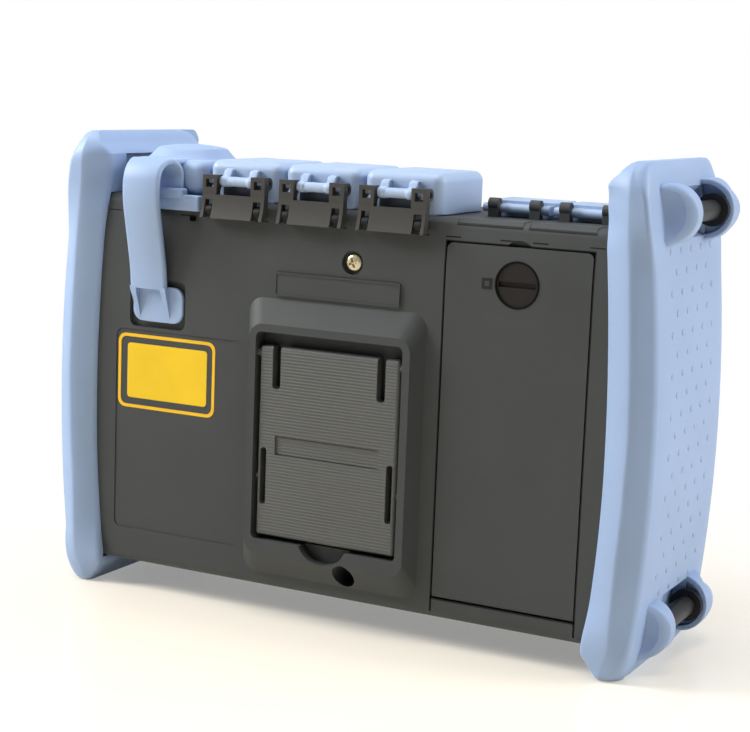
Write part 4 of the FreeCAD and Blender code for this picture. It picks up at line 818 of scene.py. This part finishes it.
# %% [markdown]
# The tab is a pad laid on its back in the recess, so its y and z are swapped. Two ribs run from
# the strap's end down to the tab's foot, narrower below.

# %% Tab of the strap
RIB_SIDE = np.array([[31.0, 95.4], [31.0, 106.0], [33.7, 106.0], [33.6, 104.4], [31.45, 95.6]])
RIB_FOOT, RIB_HIGH = 95.4, 10.6


def rib(name, top_edges, foot_edges):
    """A rib with the given left and right edges at its top and foot, and RIB_SIDE as its side."""
    share = (RIB_SIDE[:, 1] - RIB_FOOT) / RIB_HIGH
    edges = [np.interp(share, [0.0, 1.0], pair) for pair in zip(foot_edges, top_edges)]
    return outward(grid_object(name, np.stack([np.column_stack([x, RIB_SIDE]) for x in edges])))


tab_points = pad_grid(58.4, 78.4, 94.0, 106.2, 29.8, 31.4, 4.0, 0.5)[:, :, [0, 2, 1]]
for piece in (solid("cap_strap_tab", tab_points),
              rib("cap_strap_rib_a", (64.0, 66.2), (63.4, 64.6)),
              rib("cap_strap_rib_b", (76.0, 78.4), (75.2, 76.2))):
    dress(piece, finishes["blue_elastomer"], "case")
print("tab and 2 ribs")

# %% [markdown]
# Each port cover has two upright lugs that carry its bar. A lug is a profile in the y and z
# plane, extruded across, with its outline drawn in a little at both ends to round it.

# %% Lugs of the port covers
LUG_OUTLINE = np.array([
    [26.6, 141.4], [26.6, 147.0], [27.9, 147.1], [28.9, 146.8], [29.4, 145.9], [29.8, 144.9],
    [30.9, 144.75], [32.0, 144.3], [32.5, 143.3], [32.2, 142.0], [31.2, 141.2], [29.0, 141.1]])
LUG_OFFSET, LUG_HALF = 4.9, 1.35


def lug_grid(x):
    """The lug's outline at four places across: full in the middle, drawn in at both sides."""
    centre = LUG_OUTLINE.mean(0)
    rows = []
    for share, shrink in ((-1.0, 0.88), (-0.72, 1.0), (0.72, 1.0), (1.0, 0.88)):
        ring = centre + (LUG_OUTLINE - centre) * shrink
        rows.append(np.column_stack([np.full(len(ring), x + share * LUG_HALF), ring]))
    return np.array(rows)


for letter, centre in PORTS.items():
    for place, offset in (("left", LUG_OFFSET), ("right", -LUG_OFFSET)):
        lug = solid(f"port_cover_{letter}_lug_{place}", lug_grid(centre + offset), 45)
        dress(lug, finishes["blue_plastic"], f"port_cover_{letter}")
print("6 lugs")

# %% [markdown]
# Flat outlines given a thickness make the thin pieces. A blank label lies in the recess beside the
# stand: a yellow field inside an orange line, both a fifth of a millimetre thick. A narrow border
# stands up round the plate above the stand, and a small black film over a snap's hole is painted
# shade, standing for the dark inside the hole.

# %% Films on the rear
label_film = partial(finish, rough=0.36, grain=0.006, grain_scale=900.0, vary=0.05)
yellow = label_film("yellow film", (0.84, 0.55, 0.002))
orange = label_film("orange film", (0.86, 0.50, 0.006))
# A black film without gloss: painted shade of the snap's hole.
hole_shade = finish("painted hole shade", (0.004, 0.004, 0.004), 0.9, 0.01, 2000.0, Specular_IOR_Level=0.0)


def rounded_outline(left, right, low, high, radius):
    """A rounded rectangle's ring of (x, z) points, anticlockwise."""
    return corner_arcs(left, right, low, high, radius, 0.0, 8)


def film(name, rings, low, high):
    """A flat film between two y levels: one ring makes a plate, two rings make a frame."""
    order = [(rings[0], low), (rings[0], high)]
    framed = len(rings) == 2
    if framed:
        order += [(rings[1], high), (rings[1], low)]
    sections = np.array([np.insert(ring, 1, level, axis=1) for ring, level in order])
    return outward(grid_object(name, sections, capped=not framed, close_rows=framed))


films = {
    "label_field": (yellow, 30.62, 30.82, [rounded_outline(48.6, 80.7, 67.1, 86.0, 1.2)]),
    "label_line": (orange, 30.62, 30.82, [rounded_outline(45.4, 84.5, 63.6, 89.2, 3.0),
                                          rounded_outline(46.5, 83.4, 64.7, 88.1, 2.2)]),
    "plate_border": (rear_plastic, 31.0, 31.75, [rounded_outline(-22.7, 22.7, 107.3, 114.9, 0.5),
                                                 rounded_outline(-22.2, 22.2, 107.8, 114.4, 0.3)]),
    "snap_window": (hole_shade, 30.9, 31.06, [rounded_outline(54.3, 56.5, 129.1, 130.7, 0.2)])}
for name, (material, low, high, rings) in films.items():
    dress(film(name, rings, low, high), material, "case")
print(len(films), "films")

# %% [markdown]
# Two thin plates lie on the case's rolled rear edge, behind the low covers' hinges, where a
# legend could be printed: each is a black edge round a bare field of the case's colour. Rays
# shot down on the rear case find its height, and the plates are draped over that.

# %% Legend plates
LEGEND_SIDES = {"a": (-62.4, -40.4), "b": (-86.2, -64.2)}


def roof(x, y):
    """Height of the rear case's top at a place seen from above."""
    start = Vector(((x + MIDDLE) * MM, y * MM, 0.2))
    return nodes["rear_case"].ray_cast(start, Vector((0, 0, -1)))[1].z / MM


def draped(name, left, right, front, rear, thick):
    """A thin plate that follows the case's rolled edge from y = front to y = rear."""
    rows = []
    for y in np.linspace(front, rear, 24):
        under = roof((left + right) / 2, y)
        low, high = under - 0.3, under + thick
        rows.append([(left, y, low), (right, y, low), (right, y, high), (left, y, high)])
    return solid(name, np.array(rows), 40)


for letter, (left, right) in LEGEND_SIDES.items():
    plate = draped(f"legend_plate_{letter}", left, right, 22.6, 29.6, 0.10)
    dress(plate, finishes["black_steel"], "case")
    field = draped(f"legend_field_{letter}", left + 0.5, right - 0.5, 23.1, 29.1, 0.14)
    dress(field, finishes["case_plastic"], "case")
print("roof", [round(roof(-52.0, y), 2) for y in (20, 22, 24, 26, 28, 30)])

# %% [markdown]
# A thin ring lies round the coin lock of the battery cover, with a small square mark beside it.
# The cover isn't flat there, so rays shot forwards on to it find its level: one for the mark,
# and one for each point of the ring.

# %% Ring and mark of the coin lock
LOCK_X, LOCK_Z = -61.9, 117.7
MARK_X, MARK_Z = -52.0, 117.5
RING_RADIUS, RING_ROUND = 7.0, 0.38
LEVEL_RADIUS = 8.0  # where the ring's level is taken, just outside it


def cover_level(x, z):
    """The battery cover's y at a place seen from behind, in mm."""
    start = Vector((x + MIDDLE, 60.0, z)) * MM
    return nodes["battery_cover"].ray_cast(start, Vector((0, -1, 0)))[1].y / MM


bpy.ops.mesh.primitive_torus_add(
    location=((LOCK_X + MIDDLE) * MM, 0.0, LOCK_Z * MM), rotation=(math.pi / 2, 0, 0),
    major_radius=RING_RADIUS * MM, minor_radius=RING_ROUND * MM,
    major_segments=120, minor_segments=12)
lock_ring = bpy.context.object
lock_ring.name = "coin_lock_ring"
bpy.ops.object.transform_apply(location=True, rotation=True, scale=True)
for vertex in lock_ring.data.vertices:
    turn = math.atan2(vertex.co.z - LOCK_Z * MM, vertex.co.x - (LOCK_X + MIDDLE) * MM)
    level = cover_level(LOCK_X + LEVEL_RADIUS * math.cos(turn),
                        LOCK_Z + LEVEL_RADIUS * math.sin(turn))
    vertex.co.y += (level - 0.1) * MM
smooth(lock_ring, 60)
dress(lock_ring, finish("ring rubber", (0.006, 0.006, 0.007), 0.75, 0.01, 1800.0,
                        Specular_IOR_Level=0.08), "battery_cover")

mark_y = cover_level(MARK_X, MARK_Z)
for part, reach, rise, slot in (("edge", 1.7, 0.12, "black_steel"),
                                ("field", 0.75, 0.18, "hinge_plastic")):
    square = np.array([(MARK_X + a * reach, MARK_Z + b * reach)
                       for a, b in ((-1, -1), (1, -1), (1, 1), (-1, 1))])
    lock_mark = film(f"lock_mark_{part}", [square], mark_y - 0.2, mark_y + rise)
    dress(lock_mark, finishes[slot], "battery_cover")
print("mark's level", round(mark_y, 2))

# %% [markdown]
# The arrow pad carries four plain arrow heads, one towards each side. They are one triangle,
# turned about the pad's middle by a quarter more each time.

# %% Arrow heads
HEAD_TIP, HEAD_BASE, HEAD_HALF = 13.2, 10.9, 1.9
low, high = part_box("arrow_pad")
pad_x, pad_z = (low.x + high.x) / 2 / MM - MIDDLE, (low.z + high.z) / 2 / MM
for number in range(4):
    c, s = math.cos(number * math.pi / 2), math.sin(number * math.pi / 2)
    corners = ((HEAD_TIP, 0.0), (HEAD_BASE, HEAD_HALF), (HEAD_BASE, -HEAD_HALF))
    outline = np.array([(pad_x + a * c - b * s, pad_z + a * s + b * c) for a, b in corners])
    head = film(f"arrow_head_{number + 1}", [outline], low.y / MM - 0.12, low.y / MM + 0.2)
    dress(head, finishes["pale_key"], "arrow_pad")
print("arrow pad", [round(v / MM, 2) for v in (*low, *high)])

# %% [markdown]
# The screw above the stand has a domed head with a cross recess. On a polar grid the head is a
# height over the plane: a dome, less a smooth trough along each arm of the cross.

# %% Cross-recess screw
CROSS_TURN = 0.35  # how far the cross is turned, in radians


def screw_grid(x, z, base, radius, rise):
    """Dome of the given radius and rise over y = base, less two crossed troughs."""
    r = np.concatenate([[0.01], np.linspace(0.12, radius, 26)])
    angle = np.linspace(0, 2 * math.pi, 97)[:-1]
    r, t = np.meshgrid(r, angle, indexing="ij")
    a, b = r * np.cos(t + CROSS_TURN), r * np.sin(t + CROSS_TURN)
    dome = rise * np.sqrt(np.clip(1.0 - (r / (radius * 1.02)) ** 2.6, 0.0, 1.0))
    reach = 1.0 - step(r, 1.25, 1.75)
    arm = np.maximum(1.0 - step(np.abs(a), 0.22, 0.42), 1.0 - step(np.abs(b), 0.22, 0.42))
    top = np.stack([x + r * np.cos(t), base + dome - arm * reach, z + r * np.sin(t)], -1)
    foot = top[-1:].copy()
    foot[..., 1] = base - 0.4
    return np.concatenate([top, foot])


screw = solid("rear_screw", screw_grid(-5.2, 120.0, 29.5, 2.9, 1.3), 40)
dress(screw, finishes["screw_metal"], "case")
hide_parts("case_screws")
print("screw", len(screw.data.polygons), "faces")

# %% [markdown]
# The set stands on a pale table. Near the object the table takes its soft shadow; further off
# it fades into the white surroundings, by the distance from the object's middle, so that no
# horizon shows. The fade is there for the camera and for reflections only, so the table still
# lights the object from below with its own warm colour.

# %% Table
HALF_TABLE = 4000.0


def map_range(tree, value, before, after, kind="LINEAR"):
    """A Map Range node's output: it takes the range before to the range after."""
    node = tree.nodes.new("ShaderNodeMapRange")
    node.interpolation_type = kind
    node.inputs["From Min"].default_value, node.inputs["From Max"].default_value = before
    node.inputs["To Min"].default_value, node.inputs["To Max"].default_value = after
    tree.links.new(value, node.inputs["Value"])
    return node.outputs["Result"]


def ray_kinds(tree, *kinds):
    """Outputs that are 1 for those kinds of ray."""
    rays = tree.nodes.new("ShaderNodeLightPath")
    return [rays.outputs[f"Is {kind} Ray"] for kind in kinds]


def mix_surface(tree, share, first, second, output):
    """Gives the output node the first shader where the share is 0 and the second where it is 1."""
    mix = tree.nodes.new("ShaderNodeMixShader")
    for value, socket in zip((share, first, second), mix.inputs):
        tree.links.new(value, socket)
    tree.links.new(mix.outputs[0], tree.nodes[output].inputs["Surface"])


table_corners = [(-HALF_TABLE, -HALF_TABLE, 0.0), (HALF_TABLE, -HALF_TABLE, 0.0),
                 (HALF_TABLE, HALF_TABLE, 0.0), (-HALF_TABLE, HALF_TABLE, 0.0)]
table = make_object("table", table_corners, [[0, 1, 2, 3]])
table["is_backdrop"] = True
top = bpy.data.materials.new("table top")
top.use_nodes = True
tree = top.node_tree
shader = tree.nodes["Principled BSDF"]
shader.inputs["Base Color"].default_value = (0.96, 0.87, 0.71, 1.0)
shader.inputs["Roughness"].default_value = 0.16
shader.inputs["Specular IOR Level"].default_value = 0.35
calc, x, y, z = maths(tree)
far = calc("SQRT", calc("ADD", calc("MULTIPLY", x, x), calc("MULTIPLY", y, y)))
fade = map_range(tree, far, (0.08, 0.235), (0.28, 1.0), "SMOOTHSTEP")
white = tree.nodes.new("ShaderNodeEmission")
white.inputs["Strength"].default_value = 1.0
looked_at = calc("MAXIMUM", *ray_kinds(tree, "Camera", "Glossy"))
mix_surface(tree, calc("MULTIPLY", fade, looked_at), shader.outputs[0], white.outputs[0],
            "Material Output")
table.data.materials.append(top)
print("table", 2 * HALF_TABLE * MM, "m wide")

# %% [markdown]
# The camera, and light that comes through glass, see a white world. Reflections see about a
# third of it, so that the dark plastics don't turn hazy. As a light the world is dim, and it
# fades to nothing round one direction, so that the lamps there shape the object.

# %% World
WORLD_DARK_WAY = (-0.66, 0.75, -0.05)
GLOSS_SHARE = 0.35
world = bpy.data.worlds.new("studio")
bpy.context.scene.world = world
world.use_nodes = True
tree = world.node_tree
calc = partial(formula, tree)
toward = tree.nodes.new("ShaderNodeTexCoord")
dot = tree.nodes.new("ShaderNodeVectorMath")
dot.operation = "DOT_PRODUCT"
dot.inputs[1].default_value = WORLD_DARK_WAY
tree.links.new(toward.outputs["Generated"], dot.inputs[0])
ambient = tree.nodes["Background"]
ambient.inputs["Color"].default_value = (0.96, 0.98, 1.0, 1.0)
dim = map_range(tree, dot.outputs["Value"], (-0.1, 0.9), (0.27, 0.0))
tree.links.new(dim, ambient.inputs["Strength"])
seen = tree.nodes.new("ShaderNodeBackground")
seen.inputs["Color"].default_value = (1.0, 1.0, 1.0, 1.0)
seen.inputs["Strength"].default_value = 1.0
camera_ray, glass_ray, glossy_ray = ray_kinds(tree, "Camera", "Transmission", "Glossy")
either = calc("MAXIMUM", calc("MAXIMUM", camera_ray, glass_ray),
              calc("MULTIPLY", glossy_ray, GLOSS_SHARE))
mix_surface(tree, either, ambient.outputs[0], seen.outputs[0], "World Output")
print("world", world.name)

# %% [markdown]
# Three soft lamps light the set: a strong small one at the left, a wide one at the right and
# behind, and a large one overhead. The picture's values are shown as they are, without a film
# curve.

# %% Lamps
LAMP_TARGET = (0.0, 0.0, 0.08)


def soft_light(name, place, size, power):
    """A rectangular area lamp that looks at the target; the place and size are metres."""
    data = bpy.data.lights.new(name, "AREA")
    data.shape = "RECTANGLE"
    data.size, data.size_y = size
    data.energy = power
    lamp = bpy.data.objects.new(name, data)
    bpy.context.scene.collection.objects.link(lamp)
    lamp.location = place
    lamp.rotation_mode = "QUATERNION"
    lamp.rotation_quaternion = (Vector(LAMP_TARGET) - Vector(place)).to_track_quat("-Z", "Y")


soft_light("left box", (0.76, 0.34, 0.58), (0.32, 0.4), 9.3)
soft_light("right box", (-1.10, -0.50, 0.60), (0.7, 0.6), 11.4)
soft_light("top box", (0.0, 0.14, 1.28), (1.0, 0.8), 11.5)
bpy.context.scene.view_settings.view_transform = "Standard"
print("3 lamps")

# %% Sizes
low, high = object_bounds()
print("visual box", [round(v, 4) for v in (*low, *high)])
